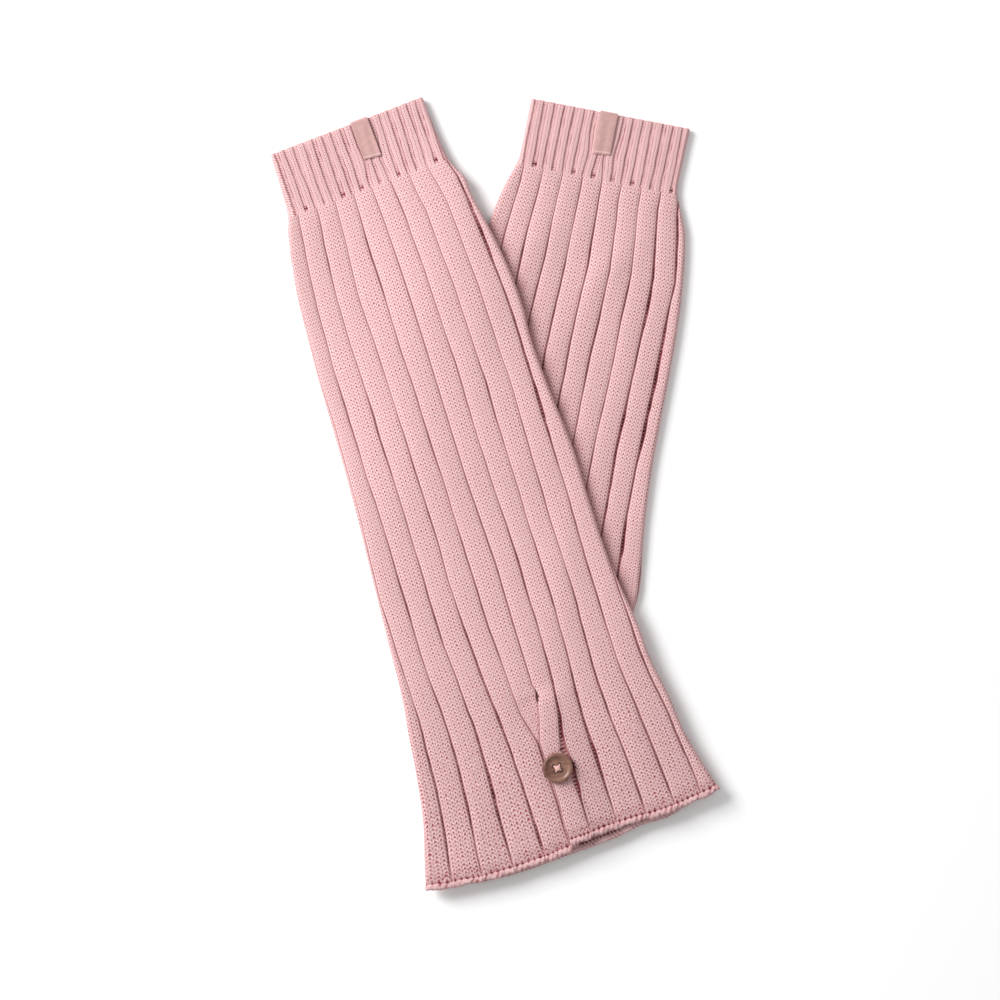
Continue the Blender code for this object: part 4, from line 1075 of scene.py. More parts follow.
def knit_material(name, wales, loosening, holes, reach, purl_lines):
    """Brushed cotton-blend yarn knitted in a rib: soft matt loops over darker gaps.

    Each stitch is drawn in the shell's own knit coordinates, one unit to a wale and a course:
    2.0 to 2.7 mm by 2 mm on a body and 1.8 by 1.4 mm on a cuff. Yarn twist is 0.25 mm, drawn a
    little coarse at 0.35 mm. loosening is how far the stitches open toward the hem, holes how
    dark they are in the middle and at the sides of a stitch, reach where the ones at the sides
    start on a scale from the middle, 0, to the side, 1, and purl_lines how dark the two edges of
    a purl wale are.
    """
    settings = bpy.context.scene.leg_warmers.knit
    middle_hole, side_hole = holes
    unit = wales + 1.0
    material, tree, shader = empty_material(name)
    uv = add_node(tree, "ShaderNodeUVMap", uv_map="knit").outputs["UV"]
    knit = add_node(tree, "ShaderNodeSeparateXYZ", {"Vector": uv}).outputs
    place = add_node(tree, "ShaderNodeTexCoord").outputs["Object"]
    moved = add_node(tree, "ShaderNodeTexNoise", {
        "Vector": place, "Scale": 1.0 / (3.5 * MM), "Detail": 2.0, "Roughness": 0.7})
    shift = add_node(tree, "ShaderNodeSeparateXYZ", {"Vector": moved.outputs["Color"]}).outputs
    normal = add_node(tree, "ShaderNodeNewGeometry").outputs["True Normal"]
    facing = add_node(tree, "ShaderNodeSeparateXYZ", {"Vector": normal}).outputs
    # The groove attribute is painted shade: in grooves and gaps, on folds, inside, and beside other
    # pieces
    groove = add_node(tree, "ShaderNodeAttribute", attribute_name="groove").outputs["Fac"]
    named = {
        "across": knit["X"], "down": knit["Y"], "place": place, "shift_across": shift["X"],
        "shift_down": shift["Y"], "facing_up": facing["Z"], "groove": groove,
        "yarn": (*settings.yarn, 1.0), "yarn_low": (*settings.yarn_low, 1.0),
        "shade": (*settings.shade, 1.0), "painted_groove_shade": (*settings.groove, 1.0)}
    steps = (
        # Loops sit a little unevenly, more so where they are loose
        ("loose", ("RANGE", "down", -62.0, -14.0, 0.0, loosening)),
        ("drift", ("MULTIPLY_ADD", "loose", 0.6, 1.0)),
        ("wale", ("MULTIPLY_ADD", ("MULTIPLY_ADD", "shift_across", 0.5, -0.25), "drift",
                  "across")),
        ("course", ("MULTIPLY_ADD", ("MULTIPLY_ADD", "shift_down", 0.6, -0.3), "drift", "down")),
        # A stitch from its middle, 0, to its side, 1, and down its slanted legs
        ("half_on", ("ADD", "wale", 0.5)),
        ("side", ("ABSOLUTE", ("MULTIPLY_ADD", ("FRACT", "half_on"), 2.0, -1.0))),
        ("phase", ("MULTIPLY_ADD", "side", -CHEVRON, "course")),
        ("gap", waves("phase")),
        ("hole", ("MAXIMUM", ("RANGE", "side", 0.1, 0.5, middle_hole, 0.12 * middle_hole),
                  ("RANGE", "side", reach, 1.0, 0.0, side_hole))),
        # Painted shade: the holes are fainter on the left of a rib, whose flank faces the light,
        # and darker on its right
        ("rib_part", ("FRACT", ("DIVIDE", "wale", unit))),
        ("flank_shade", ("RANGE", "rib_part", 0.04, 0.5, 0.85, 1.15)),
        # Loops are pressed together where the cloth turns over a side fold
        ("level", ("RANGE", ("ABSOLUTE", "facing_up"), 0.2, 0.7, 0.25, 1.0)),
        # Every stitch is a little lighter or darker than the next
        ("odd", ("WHITE_NOISE", ("POINT", ("FLOOR", "half_on"), ("FLOOR", "phase")))),
        ("hole", ("MULTIPLY", ("POWER", "gap", 2.0), "hole")),
        ("hole", ("MULTIPLY", ("MULTIPLY", "hole", "flank_shade"), ("MULTIPLY_ADD", "odd", 0.7, 0.6))),
        ("hole", ("MULTIPLY", "hole", ("MULTIPLY_ADD", "loose", 0.2, 0.98))),
        ("hole", ("MULTIPLY", "hole", "level")),
        # Painted highlight on the legs of each stitch, in the lighter yarn colour
        ("legs", ("MULTIPLY", ("RANGE", "side", 0.0, 0.35, 0.2, 1.0),
                  ("RANGE", "side", 0.6, 0.95, 1.0, 0.1))),
        ("painted_highlight", ("MULTIPLY", ("POWER", ("SUBTRACT", 1.0, "gap"), 1.3), "legs")),
        ("painted_highlight", ("SHARE", "painted_highlight", ("MULTIPLY_ADD", "odd", 0.5, 0.75))),
        # Purl wale at the bottom of each groove: bars across it, clearest on its left
        ("from_left", ("FRACT", ("ADD", ("DIVIDE", "wale", unit), 0.5))),
        ("off_purl", ("MULTIPLY", ("SUBTRACT", "from_left", 0.5), unit)),
        ("purl", ("RANGE", ("ABSOLUTE", "off_purl"), 0.3, 0.5, 1.0, 0.0)),
        ("bar", waves("course")),
        ("left_side", ("RANGE", "off_purl", -0.1, 0.3, 0.6, 0.1)),
        ("broken", ("SUBTRACT", 1.0, ("MULTIPLY", ("SUBTRACT", 1.0, "bar"), "left_side"))),
        ("bars", ("MULTIPLY", ("MULTIPLY", "bar", "level"), 0.95 * middle_hole)),
        ("hole", ("ADD", ("MULTIPLY", "hole", ("SUBTRACT", 1.0, "purl")),
                  ("MULTIPLY", "bars", "purl"))),
        ("dots", ("RANGE", ("ABSOLUTE", ("ADD", "off_purl", 0.36)), 0.08, 0.26, purl_lines, 0.0)),
        ("dots", ("MULTIPLY", "dots", ("RANGE", "bar", 0.2, 0.7, 0.3, 1.0))),
        ("edge", ("RANGE", ("ABSOLUTE", ("SUBTRACT", "off_purl", 0.4)), 0.05, 0.2,
                  0.75 * purl_lines, 0.0)),
        ("patches", ("NOISE", "place", 1.0 / (6.0 * MM), 1.0, 0.5)),
        ("edge", ("MULTIPLY", "edge", ("RANGE", "patches", 0.35, 0.6, 0.35, 1.0))),
        ("lines", ("MULTIPLY", ("MAXIMUM", "dots", "edge"), "level")),
        # Bound-off hem: slanted loops over the last two courses, under a line of holes
        ("bead", ("RANGE", "down", -1.95, -1.7, 0.0, loosening)),
        ("wraps", ("POWER", waves(("MULTIPLY_ADD", "down", WRAP_SLANT, "wale")), 2.0)),
        ("patches", ("NOISE", "place", 1.0 / (5.0 * MM), 2.0, 0.6)),
        ("wraps", ("MULTIPLY", "wraps", ("RANGE", "patches", 0.35, 0.65, 0.1, 1.6))),
        ("line", ("RANGE", ("ABSOLUTE", ("ADD", "down", 1.85)), 0.1, 0.5, 1.4 * loosening, 0.0)),
        ("line", ("MULTIPLY", "line", ("MULTIPLY_ADD", waves("half_on"), 0.9, 0.1))),
        # Above that line, two or three courses of stitches are pulled out of shape
        ("pulled", ("RANGE", ("ABSOLUTE", ("ADD", "down", 3.2)), 0.5, 1.7, 0.35 * loosening,
                    0.0)),
        ("pulled", ("MULTIPLY", "pulled", ("MULTIPLY", "odd", "odd"))),
        ("hole", ("ADD", ("MULTIPLY", "hole", ("SUBTRACT", 1.0, "bead")),
                  ("MULTIPLY_ADD", "wraps", ("MULTIPLY", "bead", 0.6), "pulled"))),
        # The painted shade of the grooves is uneven along their length
        ("groove", ("MAXIMUM", ("MULTIPLY", "groove", "broken"), ("MAXIMUM", "lines", "line"))),
        ("patches", ("NOISE", "place", 1.0 / (9.0 * MM), 2.0, 0.6)),
        ("groove", ("MULTIPLY", "groove", ("MULTIPLY_ADD", "patches", 1.6, 0.15))),
        # How light the yarn is
        ("fibre", ("NOISE", "place", 1.0 / (0.35 * MM), 3.0, 0.6)),
        ("cloudy", ("NOISE", "place", 1.0 / (45.0 * MM), 2.0, 0.5)),
        ("tone", ("MULTIPLY_ADD", "odd", 0.06, 0.97)),
        ("tone", ("MULTIPLY", "tone", ("MULTIPLY_ADD", "fibre", 0.24, 0.88))),
        ("tone", ("MULTIPLY", "tone", ("MULTIPLY_ADD", "cloudy", 0.10, 0.95))),
        # The yarn is drawn darker towards the hem
        ("tone", ("MULTIPLY", "tone", ("MULTIPLY_ADD", "loose", -0.07, 1.0))),
        ("tone", ("MULTIPLY", "tone", ("MULTIPLY_ADD", "bead", -0.08, 1.0))),
        # darker still under the painted shade of a deep groove
        ("tone", ("MULTIPLY", "tone", ("RANGE", "groove", 0.85, 1.5, 1.0, 0.4))),
        # Colour, relief and roughness
        ("colour", ("MIX", "painted_highlight", "yarn_low", "yarn")),
        ("colour", ("MIX", ("SHARE", "hole", 0.95), "colour", "shade")),
        # painted shade from the groove attribute
        ("colour", ("MIX", ("SHARE", ("POWER", "groove", 1.4), 0.95), "colour",
                    "painted_groove_shade")),
        ("colour", ("SCALE", "colour", "tone")),
        ("relief", ("BUMP", ("SUBTRACT", ("MULTIPLY", "fibre", 0.25), "hole"), 0.6, 0.3 * MM)),
        ("roughness", ("MULTIPLY_ADD", "fibre", 0.12, 0.82)),
    )
    for result, formula in steps:
        named[result] = add_formula(tree, named, formula)
    fill_inputs(tree, shader, {
        "Base Color": named["colour"], "Normal": named["relief"],
        "Roughness": named["roughness"], "Sheen Weight": 0.15, "Sheen Roughness": 0.5,
        "Sheen Tint": (*linear("FFE3E1"), 1.0), "IOR": 1.45, "Specular IOR Level": 0.3})
    return material


def tape_material():
    """Woven polyester tape: flat and smooth, fine crosswise ribs, a sewn line near its end.

    The ribs are 0.35 mm apart, drawn at 0.6 mm so that they show.
    """
    settings = bpy.context.scene.leg_warmers.tape
    material, tree, shader = empty_material("woven_polyester_tape")
    uv = add_node(tree, "ShaderNodeUVMap", uv_map="tape").outputs["UV"]
    ribs = add_node(tree, "ShaderNodeTexWave", {
        "Vector": uv, "Scale": WAVE_LENGTH / (0.6 * MM), "Distortion": 0.6, "Detail": 1.0,
        "Detail Scale": 2.0}, wave_type="BANDS", bands_direction="Y").outputs["Fac"]
    place = add_node(tree, "ShaderNodeTexCoord").outputs["Object"]
    worn = add_node(tree, "ShaderNodeTexNoise", {
        "Vector": place, "Scale": 1.0 / (2.5 * MM), "Detail": 3.0}).outputs["Fac"]
    shade = add_node(tree, "ShaderNodeMapRange", {
        "Value": worn, "From Min": 0.3, "From Max": 0.7, "To Min": 0.9, "To Max": 1.06})
    colour = add_node(tree, "ShaderNodeVectorMath", {
        0: tuple(settings.colour), "Scale": shade.outputs["Result"]}, operation="SCALE")
    # The line of thread is 0.5 mm wide and 1.3 mm from the sewn end
    from_end = add_node(tree, "ShaderNodeSeparateXYZ", {"Vector": uv}).outputs["Y"]
    away = add_node(tree, "ShaderNodeMath", {0: from_end, 1: 1.3 * MM, 2: 0.25 * MM},
                    operation="COMPARE").outputs["Value"]
    sewn = add_node(tree, "ShaderNodeMix", {
        "Factor": away, 6: colour.outputs["Vector"], 7: (*linear("D8B2AC"), 1.0)},
        data_type="RGBA")
    bump = add_node(tree, "ShaderNodeBump", {
        "Height": ribs, "Strength": 0.35, "Distance": 0.08 * MM})
    fill_inputs(tree, shader, {
        "Base Color": sewn.outputs[2], "Normal": bump.outputs["Normal"], "Roughness": 0.62,
        "Sheen Weight": 0.1})
    return material


def thread_material():
    """Spun sewing thread in the knit's colour: matt, with a little nap."""
    material, tree, shader = empty_material("spun_sewing_thread")
    colour = bpy.context.scene.leg_warmers.button.thread
    fill_inputs(tree, shader, {
        "Base Color": (*colour, 1.0), "Roughness": 0.75, "Sheen Weight": 0.2})
    return material


def resin_material():
    """Cast polyester resin that imitates horn: brown streaks, paler and clearer to one side."""
    settings = bpy.context.scene.leg_warmers.button
    material, tree, shader = empty_material("horn_like_polyester_resin")
    place = add_node(tree, "ShaderNodeTexCoord").outputs["Object"]
    moved = add_node(tree, "ShaderNodeMapping", {
        "Vector": place, "Rotation": (0.0, 0.0, math.radians(-62.0)),
        "Scale": (1.0, 3.2, 1.0)}).outputs["Vector"]
    streaks = add_node(tree, "ShaderNodeTexNoise", {
        "Vector": moved, "Scale": 1.0 / (6.5 * MM), "Detail": 3.0, "Roughness": 0.55,
        "Distortion": 0.8}).outputs["Fac"]
    split = add_node(tree, "ShaderNodeSeparateXYZ", {"Vector": place})
    x, y = UPPER.place(BUTTON_ALONG, BUTTON_ACROSS)
    slope = add_node(tree, "ShaderNodeMapRange", {
        "Value": split.outputs["X"], "From Min": (x - BUTTON_RADIUS) * MM,
        "From Max": (x + BUTTON_RADIUS) * MM, "To Min": -0.16, "To Max": 0.22})
    amount = add_node(tree, "ShaderNodeMath", {0: streaks, 1: slope.outputs["Result"]},
                      operation="ADD")
    ramp = add_node(tree, "ShaderNodeMapRange", {
        "Value": amount.outputs["Value"], "From Min": 0.3, "From Max": 0.72})
    mix = add_node(tree, "ShaderNodeMix", {
        "Factor": ramp.outputs["Result"], 6: (*settings.streak, 1.0), 7: (*settings.resin, 1.0)},
        data_type="RGBA")
    fill_inputs(tree, shader, {
        "Base Color": mix.outputs[2], "Roughness": 0.36, "IOR": 1.55,
        "Specular IOR Level": 0.4})
    return material


def paper_material():
    """Matt white paper: an even surface with almost no shine, so that shadows stay soft."""
    material, tree, shader = empty_material("matt_white_paper")
    colour = bpy.context.scene.leg_warmers.stage.floor
    fill_inputs(tree, shader, {
        "Base Color": (*colour, 1.0), "Roughness": 0.9, "Specular IOR Level": 0.1})
    return material


def linked_object(name, builder, material):
    """A smooth object from a finished bmesh, with one material."""
    bmesh.ops.recalc_face_normals(builder, faces=builder.faces)
    mesh = bpy.data.meshes.new(name)
    builder.to_mesh(mesh)
    builder.free()
    mesh.shade_smooth()
    mesh.materials.append(material)
    made = bpy.data.objects.new(name, mesh)
    bpy.context.scene.collection.objects.link(made)
    return made


def label_path(label, wall):
    """Even points on the tape's inner face, as distance along the cuff and height."""
    rise = in_millimetres(bpy.context.scene.leg_warmers.knit.cuff_rise)
    top = BACK_WALL + SLOT + GROOVE_WALL + rise + GAP
    front = wall - label.reach
    turn = np.linspace(0.0, 0.5 * math.pi, 9)
    along = np.concatenate(([front], front + LABEL_BEND * (1.0 - np.cos(turn)), [label.length]))
    height = np.concatenate(([top - LABEL_BEND - LABEL_DROP],
                             top - LABEL_BEND * (1.0 - np.sin(turn)), [top]))
    run = np.concatenate(([0.0], np.cumsum(np.hypot(np.diff(along), np.diff(height)))))
    at = np.unique(np.concatenate((np.linspace(0.0, run[-1], LABEL_ROWS), run)))
    return np.interp(at, run, along), np.interp(at, run, height), at


def make_label(label, material):
    """Tape folded over the cuff's edge: a grid bent to its path, then thickened outward."""
    settings = bpy.context.scene.leg_warmers.tape
    wall = settings.thickness / MM
    half_width = 0.5 * settings.width / MM
    along, height, run = label_path(label, wall)
    last = len(run) - 1
    builder = bmesh.new()
    bmesh.ops.create_grid(
        builder, x_segments=LABEL_COLUMNS, y_segments=last, size=1.0, calc_uvs=False)
    uv = builder.loops.layers.uv.new("tape")
    row_layer = builder.verts.layers.int.new("row")
    column_layer = builder.verts.layers.float.new("column")

    def tape_point(row, column, out):
        before, after = max(row - 1, 0), min(row + 1, last)
        step = np.array([along[after] - along[before], height[after] - height[before]])
        step /= np.hypot(*step)
        part = max(along[row], 0.0) / label.length
        across = label.middle + (label.middle_end - label.middle) * part + column * half_width
        # The tape dips a little between the cuff's ribs and is drawn down at its sewn end
        turn = 2.0 * math.pi * across / LABEL_DIP_PITCH + 0.6
        dip = LABEL_DIP * math.cos(turn) * min(3.0 * part, 1.0)
        dip += LABEL_SEWN_DROP * max(0.0, part - LABEL_SEWN) / (1.0 - LABEL_SEWN)
        x, y = label.tube.place(
            along[row] + label.crooked * column * part - step[1] * out, across)
        rest = resting_height(label.tube, np.array([[x]]), np.array([[y]]))[0, 0]
        return Vector((x, y, height[row] + step[0] * out - dip + rest)) * MM

    for vertex in builder.verts:
        vertex[column_layer] = vertex.co.x
        vertex[row_layer] = round((vertex.co.y + 1.0) / 2.0 * last)
        for loop in vertex.link_loops:
            loop[uv].uv = (vertex.co.x * half_width * MM, (run[-1] - run[vertex[row_layer]]) * MM)
        vertex.co = tape_point(vertex[row_layer], vertex[column_layer], 0.0)
    outer = bmesh.ops.extrude_face_region(builder, geom=builder.faces[:])["geom"]
    for vertex in outer:
        if isinstance(vertex, bmesh.types.BMVert):
            vertex.co = tape_point(vertex[row_layer], vertex[column_layer], wall)
    bmesh.ops.recalc_face_normals(builder, faces=builder.faces)
    rims = [edge for edge in builder.edges if edge.calc_face_angle(0.0) > 1.0]
    bmesh.ops.bevel(builder, geom=rims, offset=0.15 * MM, segments=2, profile=0.5,
                    affect="EDGES", material=-1)
    made = linked_object(label.name + "_tape", builder, material)
    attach(made, "root")
    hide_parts(label.name)


def button_place(lift):
    """A spot on the button's axis, lift above its underside."""
    x, y = UPPER.place(BUTTON_ALONG, BUTTON_ACROSS)
    rise = in_millimetres(bpy.context.scene.leg_warmers.knit.body_rise)
    lap_top = BACK_WALL + SLOT + VENT_LIFT + GROOVE_WALL + rise
    rest = resting_height(UPPER, np.array([[x]]), np.array([[y]]))[0, 0]
    return Vector((x, y, lap_top + rest + GAP + lift)) * MM


def hole_places():
    """Middles of the four holes, on the button's axes."""
    heading = math.radians(UPPER_TURNS["heading"][0])
    for index in range(4):
        angle = heading + math.radians(45.0 + 90.0 * index)
        offset = BUTTON_HOLE_OFFSET * math.sqrt(2.0)
        yield Vector((offset * math.cos(angle), offset * math.sin(angle), 0.0)) * MM


def make_button(material):
    """A turned disc with a raised rim; its middle is filled round four holes."""
    builder = bmesh.new()
    outline = [Vector((radius, 0.0, height)) * MM for radius, height in
               zip(BUTTON_OUTLINE["radius"], BUTTON_OUTLINE["height"])]
    points = [builder.verts.new(place) for place in outline]
    edges = [builder.edges.new(pair) for pair in zip(points, points[1:])]
    bmesh.ops.spin(builder, geom=points + edges, cent=(0.0, 0.0, 0.0), axis=(0.0, 0.0, 1.0),
                   angle=2.0 * math.pi, steps=BUTTON_STEPS, use_merge=True)
    rims = []
    for height in (outline[0].z, outline[-1].z):
        ring = [edge for edge in builder.edges if edge.is_boundary
                and all(abs(vertex.co.z - height) < 1e-6 for vertex in edge.verts)]
        holes = []
        for place in hole_places():
            circle = bmesh.ops.create_circle(
                builder, segments=HOLE_STEPS, radius=BUTTON_HOLE_RADIUS * MM,
                matrix=Matrix.Translation(place + Vector((0.0, 0.0, height))))
            holes.append({edge for vertex in circle["verts"] for edge in vertex.link_edges})
        flat = ring + [edge for hole in holes for edge in hole]
        bmesh.ops.triangle_fill(builder, use_beauty=True, edges=flat)
        rims.append(holes)
    for below, above in zip(*rims):
        bmesh.ops.bridge_loops(builder, edges=list(below | above))
    lip = [edge for hole in rims[1] for edge in hole if edge.is_valid]
    bmesh.ops.bevel(builder, geom=lip, offset=0.18 * MM, segments=2, profile=0.5,
                    affect="EDGES", material=-1)
    bmesh.ops.translate(builder, verts=builder.verts, vec=button_place(0.0))
    made = linked_object("horn_button", builder, material)
    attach(made, "root")
    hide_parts("vent_button")


def make_thread(material):
    """Strands over the button's middle from each hole to the one across from it."""
    builder = bmesh.new()
    places = list(hole_places())
    for pair, (first, last) in enumerate(((0, 2), (1, 3))):
        run = places[last] - places[first]
        aside = Vector((-run.y, run.x, 0.0)).normalized()
        for strand in range(THREAD_STRANDS):
            place = strand - 0.5 * (THREAD_STRANDS - 1)
            shift = aside * place * THREAD_SPACING * THREAD_RADIUS * MM
            ring = bmesh.ops.create_circle(
                builder, segments=THREAD_SIDES, radius=THREAD_RADIUS * MM,
                matrix=Matrix.Translation(places[first] + shift))["verts"]
            edges = list({edge for vertex in ring for edge in vertex.link_edges})
            before = set(builder.verts) - set(ring)
            bmesh.ops.spin(builder, geom=ring + edges, cent=shift, axis=aside, angle=math.pi,
                           steps=THREAD_STEPS)
            arch = [vertex for vertex in builder.verts if vertex not in before]
            bmesh.ops.scale(builder, verts=arch, vec=(1.0, 1.0, THREAD_FLATNESS))
            lift = THREAD_RADIUS * (pair + 0.3 * (strand == 1)) * MM
            bmesh.ops.translate(builder, verts=arch, vec=(0.0, 0.0, lift))
    bmesh.ops.holes_fill(builder, edges=builder.edges, sides=THREAD_SIDES)
    bmesh.ops.create_uvsphere(
        builder, u_segments=14, v_segments=8, radius=1.0,
        matrix=Matrix.Translation((0.0, 0.0, KNOT_LIFT * MM)) @ Matrix.Diagonal(
            Vector((*KNOT_SIZE, 1.0 / MM)) * MM))
    bmesh.ops.translate(
        builder, verts=builder.verts, vec=button_place(BUTTON_OUTLINE["height"][-1]))
    made = linked_object("button_thread", builder, material)
    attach(made, "root")


def tube_area(tube, start, end):
    """Flat area of the knitted tube all round, in square metres."""
    along = np.linspace(start, end, 200)
    width = tube.half_width("left", along) + tube.half_width("right", along)
    return float(2.0 * width.mean() * (end - start)) * MM * MM


def declare_knit(piece, node, tube, start, end):
    """Sets what a shell rides on and hides the part of the model that it replaces."""
    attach(piece, "root")
    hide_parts(node)
    widest = max(tube.half_width("left", np.array([start, end]))
                 + tube.half_width("right", np.array([start, end])))
    tube_area(tube, start, end)


def size_setting(name, description, default, least, most):
    """A size that a user can change, given in millimetres and held in metres."""
    return bpy.props.FloatProperty(
        name=name, description=description, default=default * MM, min=least * MM,
        max=most * MM, subtype="DISTANCE", unit="LENGTH")


def colour_setting(name, description, hex_colour):
    """A colour that a user can change, given as an sRGB hex value."""
    return bpy.props.FloatVectorProperty(
        name=name, description=description, default=linear(hex_colour), subtype="COLOR",
        size=3, min=0.0, max=1.0)


class KnitSettings(bpy.types.PropertyGroup):
    """Sizes and colours of the knit"""

    body_course: size_setting(
        "Body Course", "Height of one row of stitches on the body", 2.0, 1.0, 4.0)
    cuff_course: size_setting(
        "Cuff Course", "Height of one row of stitches on the cuff", 1.4, 1.0, 4.0)
    body_rise: size_setting(
        "Body Rib Rise", "Height of a wide rib over its grooves", 1.3, 0.0, 3.0)
    cuff_rise: size_setting(
        "Cuff Rib Rise", "Height of a narrow rib over its grooves", 0.65, 0.0, 3.0)
    stitch_height: size_setting(
        "Stitch Height", "Height of a stitch over its hole, halved", 0.13, 0.0, 0.5)
    # Shade is painted shade between the stitches, Groove painted shade in the grooves.
    # Yarn is the painted highlight on the loops' legs, Yarn Side the yarn beside it.
    yarn: colour_setting("Yarn", "Colour of the yarn where light reaches it", "EBCBCA")
    yarn_low: colour_setting("Yarn Side", "Colour of the yarn where a loop turns down", "D6AAAB")
    shade: colour_setting("Shade", "Colour between the stitches", "9D4A50")
    groove: colour_setting("Groove", "Colour at the bottom of a groove", "823840")


class TapeSettings(bpy.types.PropertyGroup):
    """Sizes and colours of the label tapes"""

    width: size_setting("Width", "Width of the tape", 9.7, 1.0, 30.0)
    thickness: size_setting("Thickness", "Thickness of the folded tape", 0.6, 0.1, 2.0)
    colour: colour_setting("Colour", "Colour of the tape", "C09692")


class ButtonSettings(bpy.types.PropertyGroup):
    """Colours of the button and its thread"""

    resin: colour_setting("Resin", "Main colour of the button", "8C6656")
    streak: colour_setting("Streak", "Colour of its darker streaks", "653E32")
    thread: colour_setting("Thread", "Colour of the sewing thread", "DBA9A3")


class StageSettings(bpy.types.PropertyGroup):
    """Floor, lights and camera"""

    floor: colour_setting("Floor", "Colour of the floor", "FDFDFD")
    key: bpy.props.FloatProperty(
        name="Key Light", description="Power of the large light from the upper left",
        default=48.5, min=0.0, unit="POWER")
    fill: bpy.props.FloatProperty(
        name="Fill", description="Strength of the even light from all round",
        default=0.54, min=0.0)


class LegWarmerSettings(bpy.types.PropertyGroup):
    """All settings of the add-on"""

    knit: bpy.props.PointerProperty(type=KnitSettings)
    tape: bpy.props.PointerProperty(type=TapeSettings)
    button: bpy.props.PointerProperty(type=ButtonSettings)
    stage: bpy.props.PointerProperty(type=StageSettings)


class LEGWARMERS_OT_bodies(bpy.types.Operator):
    """Knit the two wide-ribbed bodies"""

    bl_idname = "leg_warmers.bodies"
    bl_label = "Bodies"

    def execute(self, context):
        settings = context.scene.leg_warmers.knit
        material = knit_material("wide_rib_cotton_knit", WIDE_RIB.wales, 1.0, (1.0, 0.7), 0.65, 0.0)
        course = in_millimetres(settings.body_course)
        rise = in_millimetres(settings.body_rise)
        rows = ShellRows(CUFF_LENGTH, HIDDEN_LENGTH, course, PLAIN_START, HEM_END)
        right, left = even_edges(LOWER, LOWER_RIBS, rows.along, LOWER_RIB_REACH, 300)
        lower, JOINS["lower_cuff"] = knitted_shell(
            "lower_body_knit", LOWER, rows, right, left, rise, WIDE_RIB, LOWER_CREASES,
            seed=11)
        lower.data.materials.append(material)
        declare_knit(lower, "lower_body", LOWER, CUFF_LENGTH, HIDDEN_LENGTH)
        rows = ShellRows(CUFF_LENGTH, LENGTH, course, PLAIN_START, HEM_END)
        right, left = vent_edges(rows.along, 500)
        upper, JOINS["upper_cuff"] = knitted_shell(
            "upper_body_knit", UPPER, rows, right, left, rise, WIDE_RIB, UPPER_CREASES,
            vented=True, seed=21)
        upper.data.materials.append(material)
        declare_knit(upper, "upper_body", UPPER, CUFF_LENGTH, LENGTH)
        return {"FINISHED"}


class LEGWARMERS_OT_cuffs(bpy.types.Operator):
    """Knit the two narrow-ribbed cuffs"""

    bl_idname = "leg_warmers.cuffs"
    bl_label = "Cuffs"

    def execute(self, context):
        settings = context.scene.leg_warmers.knit
        course = in_millimetres(settings.cuff_course)
        rise = in_millimetres(settings.cuff_rise)
        material = knit_material(
            "narrow_rib_cotton_knit", NARROW_RIB.wales, 0.0, (0.4, 1.1), 0.4, 1.0)
        for label, ribs, seed in ((UPPER_LABEL, UPPER_CUFF_RIBS, 700),
                                  (LOWER_LABEL, LOWER_CUFF_RIBS, 800)):
            rows = ShellRows(0.0, CUFF_LENGTH, course, CUFF_TOP, CUFF_END)
            right, left = even_edges(label.tube, ribs, rows.along, CUFF_RIB_REACH, seed, label)
            cuff, _ = knitted_shell(
                label.cuff + "_knit", label.tube, rows, right, left, rise, NARROW_RIB,
                CUFF_CREASES, join=JOINS[label.cuff], label=label, seed=seed)
            cuff.data.materials.append(material)
            declare_knit(cuff, label.cuff, label.tube, 0.0, CUFF_LENGTH)
        return {"FINISHED"}


class LEGWARMERS_OT_labels(bpy.types.Operator):
    """Fold a bare tape over each cuff's edge"""

    bl_idname = "leg_warmers.labels"
    bl_label = "Labels"

    def execute(self, context):
        material = tape_material()
        for label in (UPPER_LABEL, LOWER_LABEL):
            make_label(label, material)
        return {"FINISHED"}


class LEGWARMERS_OT_button(bpy.types.Operator):
    """Turn the vent's button and sew it on"""

    bl_idname = "leg_warmers.button"
    bl_label = "Button"

    def execute(self, context):
        make_button(resin_material())
        make_thread(thread_material())
        return {"FINISHED"}


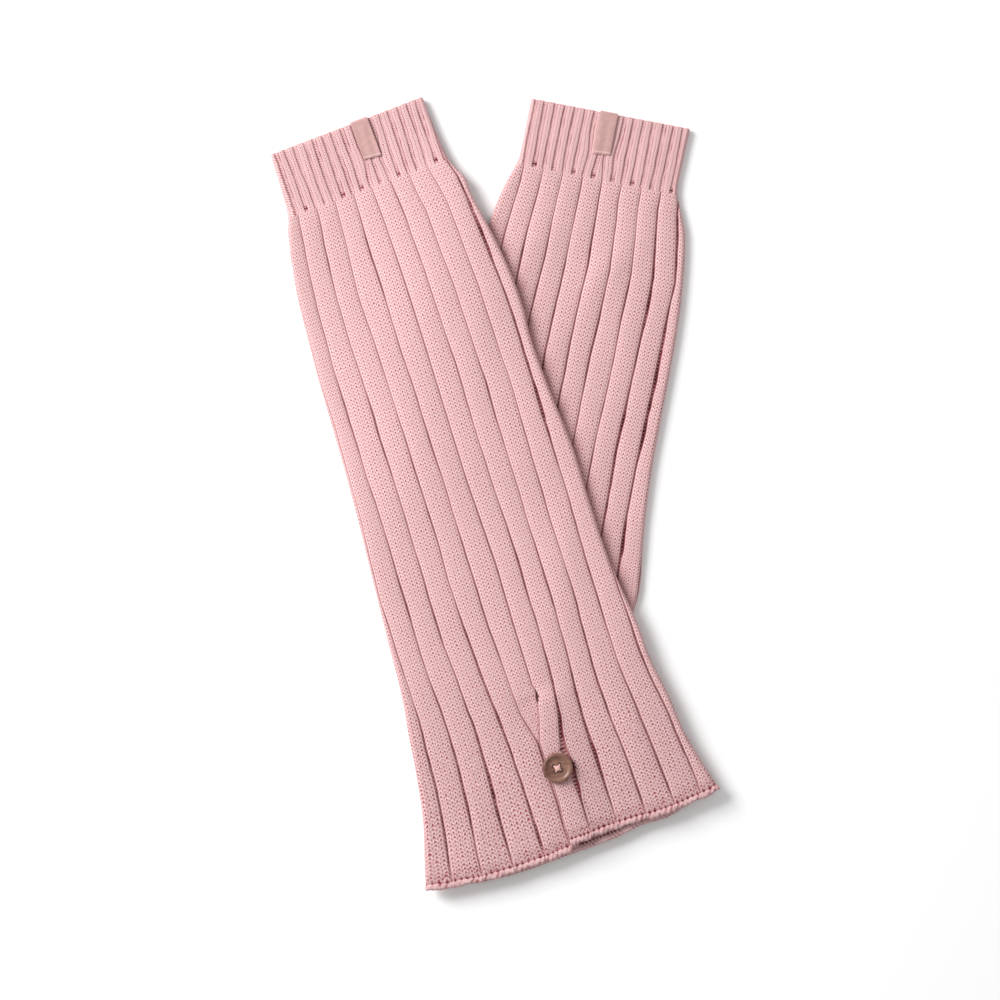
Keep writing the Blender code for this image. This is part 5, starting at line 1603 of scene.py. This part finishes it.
class LEGWARMERS_OT_stage(bpy.types.Operator):
    """Lay the floor and set the lights and the camera"""

    bl_idname = "leg_warmers.stage"
    bl_label = "Stage"

    def execute(self, context):
        settings = context.scene.leg_warmers.stage
        scene = context.scene
        builder = bmesh.new()
        bmesh.ops.create_grid(builder, x_segments=1, y_segments=1, size=FLOOR_HALF)
        mesh = bpy.data.meshes.new("floor")
        builder.to_mesh(mesh)
        builder.free()
        floor = bpy.data.objects.new("floor", mesh)
        scene.collection.objects.link(floor)
        mesh.materials.append(paper_material())

        light = bpy.data.lights.new("key_light", "AREA")
        light.shape = "SQUARE"
        light.size = KEY_SIZE
        light.energy = settings.key
        key = bpy.data.objects.new("key_light", light)
        key.location = KEY_PLACE
        aim = Vector(KEY_AIM) - key.location
        key.rotation_euler = aim.to_track_quat("-Z", "Y").to_euler()
        scene.collection.objects.link(key)

        world = bpy.data.worlds.new("studio")
        world.use_nodes = True
        background = world.node_tree.nodes["Background"]
        background.inputs["Color"].default_value = (1.0, 1.0, 1.0, 1.0)
        background.inputs["Strength"].default_value = settings.fill
        scene.world = world

        lens = bpy.data.cameras.new("camera")
        lens.lens = FOCAL_LENGTH
        lens.sensor_width = SENSOR_WIDTH
        camera = bpy.data.objects.new("camera", lens)
        distance = VIEW_WIDTH * FOCAL_LENGTH / SENSOR_WIDTH
        camera.location = Vector((*VIEW_MIDDLE, distance + CLOTH_LEVEL)) * MM
        scene.collection.objects.link(camera)
        scene.camera = camera
        scene.view_settings.view_transform = "Standard"
        scene.view_settings.look = "None"
        return {"FINISHED"}


class LEGWARMERS_PT_sidebar(bpy.types.Panel):
    """Lists the add-on's pieces and settings"""

    bl_label = "Leg Warmers"
    bl_idname = "LEGWARMERS_PT_sidebar"
    bl_space_type = "VIEW_3D"
    bl_region_type = "UI"
    bl_category = "Leg Warmers"

    def draw(self, context):
        settings = context.scene.leg_warmers
        for operator in OPERATORS:
            self.layout.operator(operator.bl_idname)
        for group in (settings.knit, settings.tape, settings.button, settings.stage):
            box = self.layout.box()
            for name in group.bl_rna.properties.keys():
                if name not in ("rna_type", "name"):
                    box.prop(group, name)


SETTINGS = (KnitSettings, TapeSettings, ButtonSettings, StageSettings, LegWarmerSettings)
OPERATORS = (
    LEGWARMERS_OT_bodies,
    LEGWARMERS_OT_labels,
    LEGWARMERS_OT_cuffs,
    LEGWARMERS_OT_button,
    LEGWARMERS_OT_stage,
)
CLASSES = (*SETTINGS, *OPERATORS, LEGWARMERS_PT_sidebar)


def register():
    for each in CLASSES:
        bpy.utils.register_class(each)
    bpy.types.Scene.leg_warmers = bpy.props.PointerProperty(type=LegWarmerSettings)


def unregister():
    del bpy.types.Scene.leg_warmers
    for each in reversed(CLASSES):
        bpy.utils.unregister_class(each)


def main():
    register()
    bpy.ops.leg_warmers.bodies()
    bpy.ops.leg_warmers.labels()
    bpy.ops.leg_warmers.cuffs()
    bpy.ops.leg_warmers.button()
    bpy.ops.leg_warmers.stage()


if __name__ == "__main__":
    main()
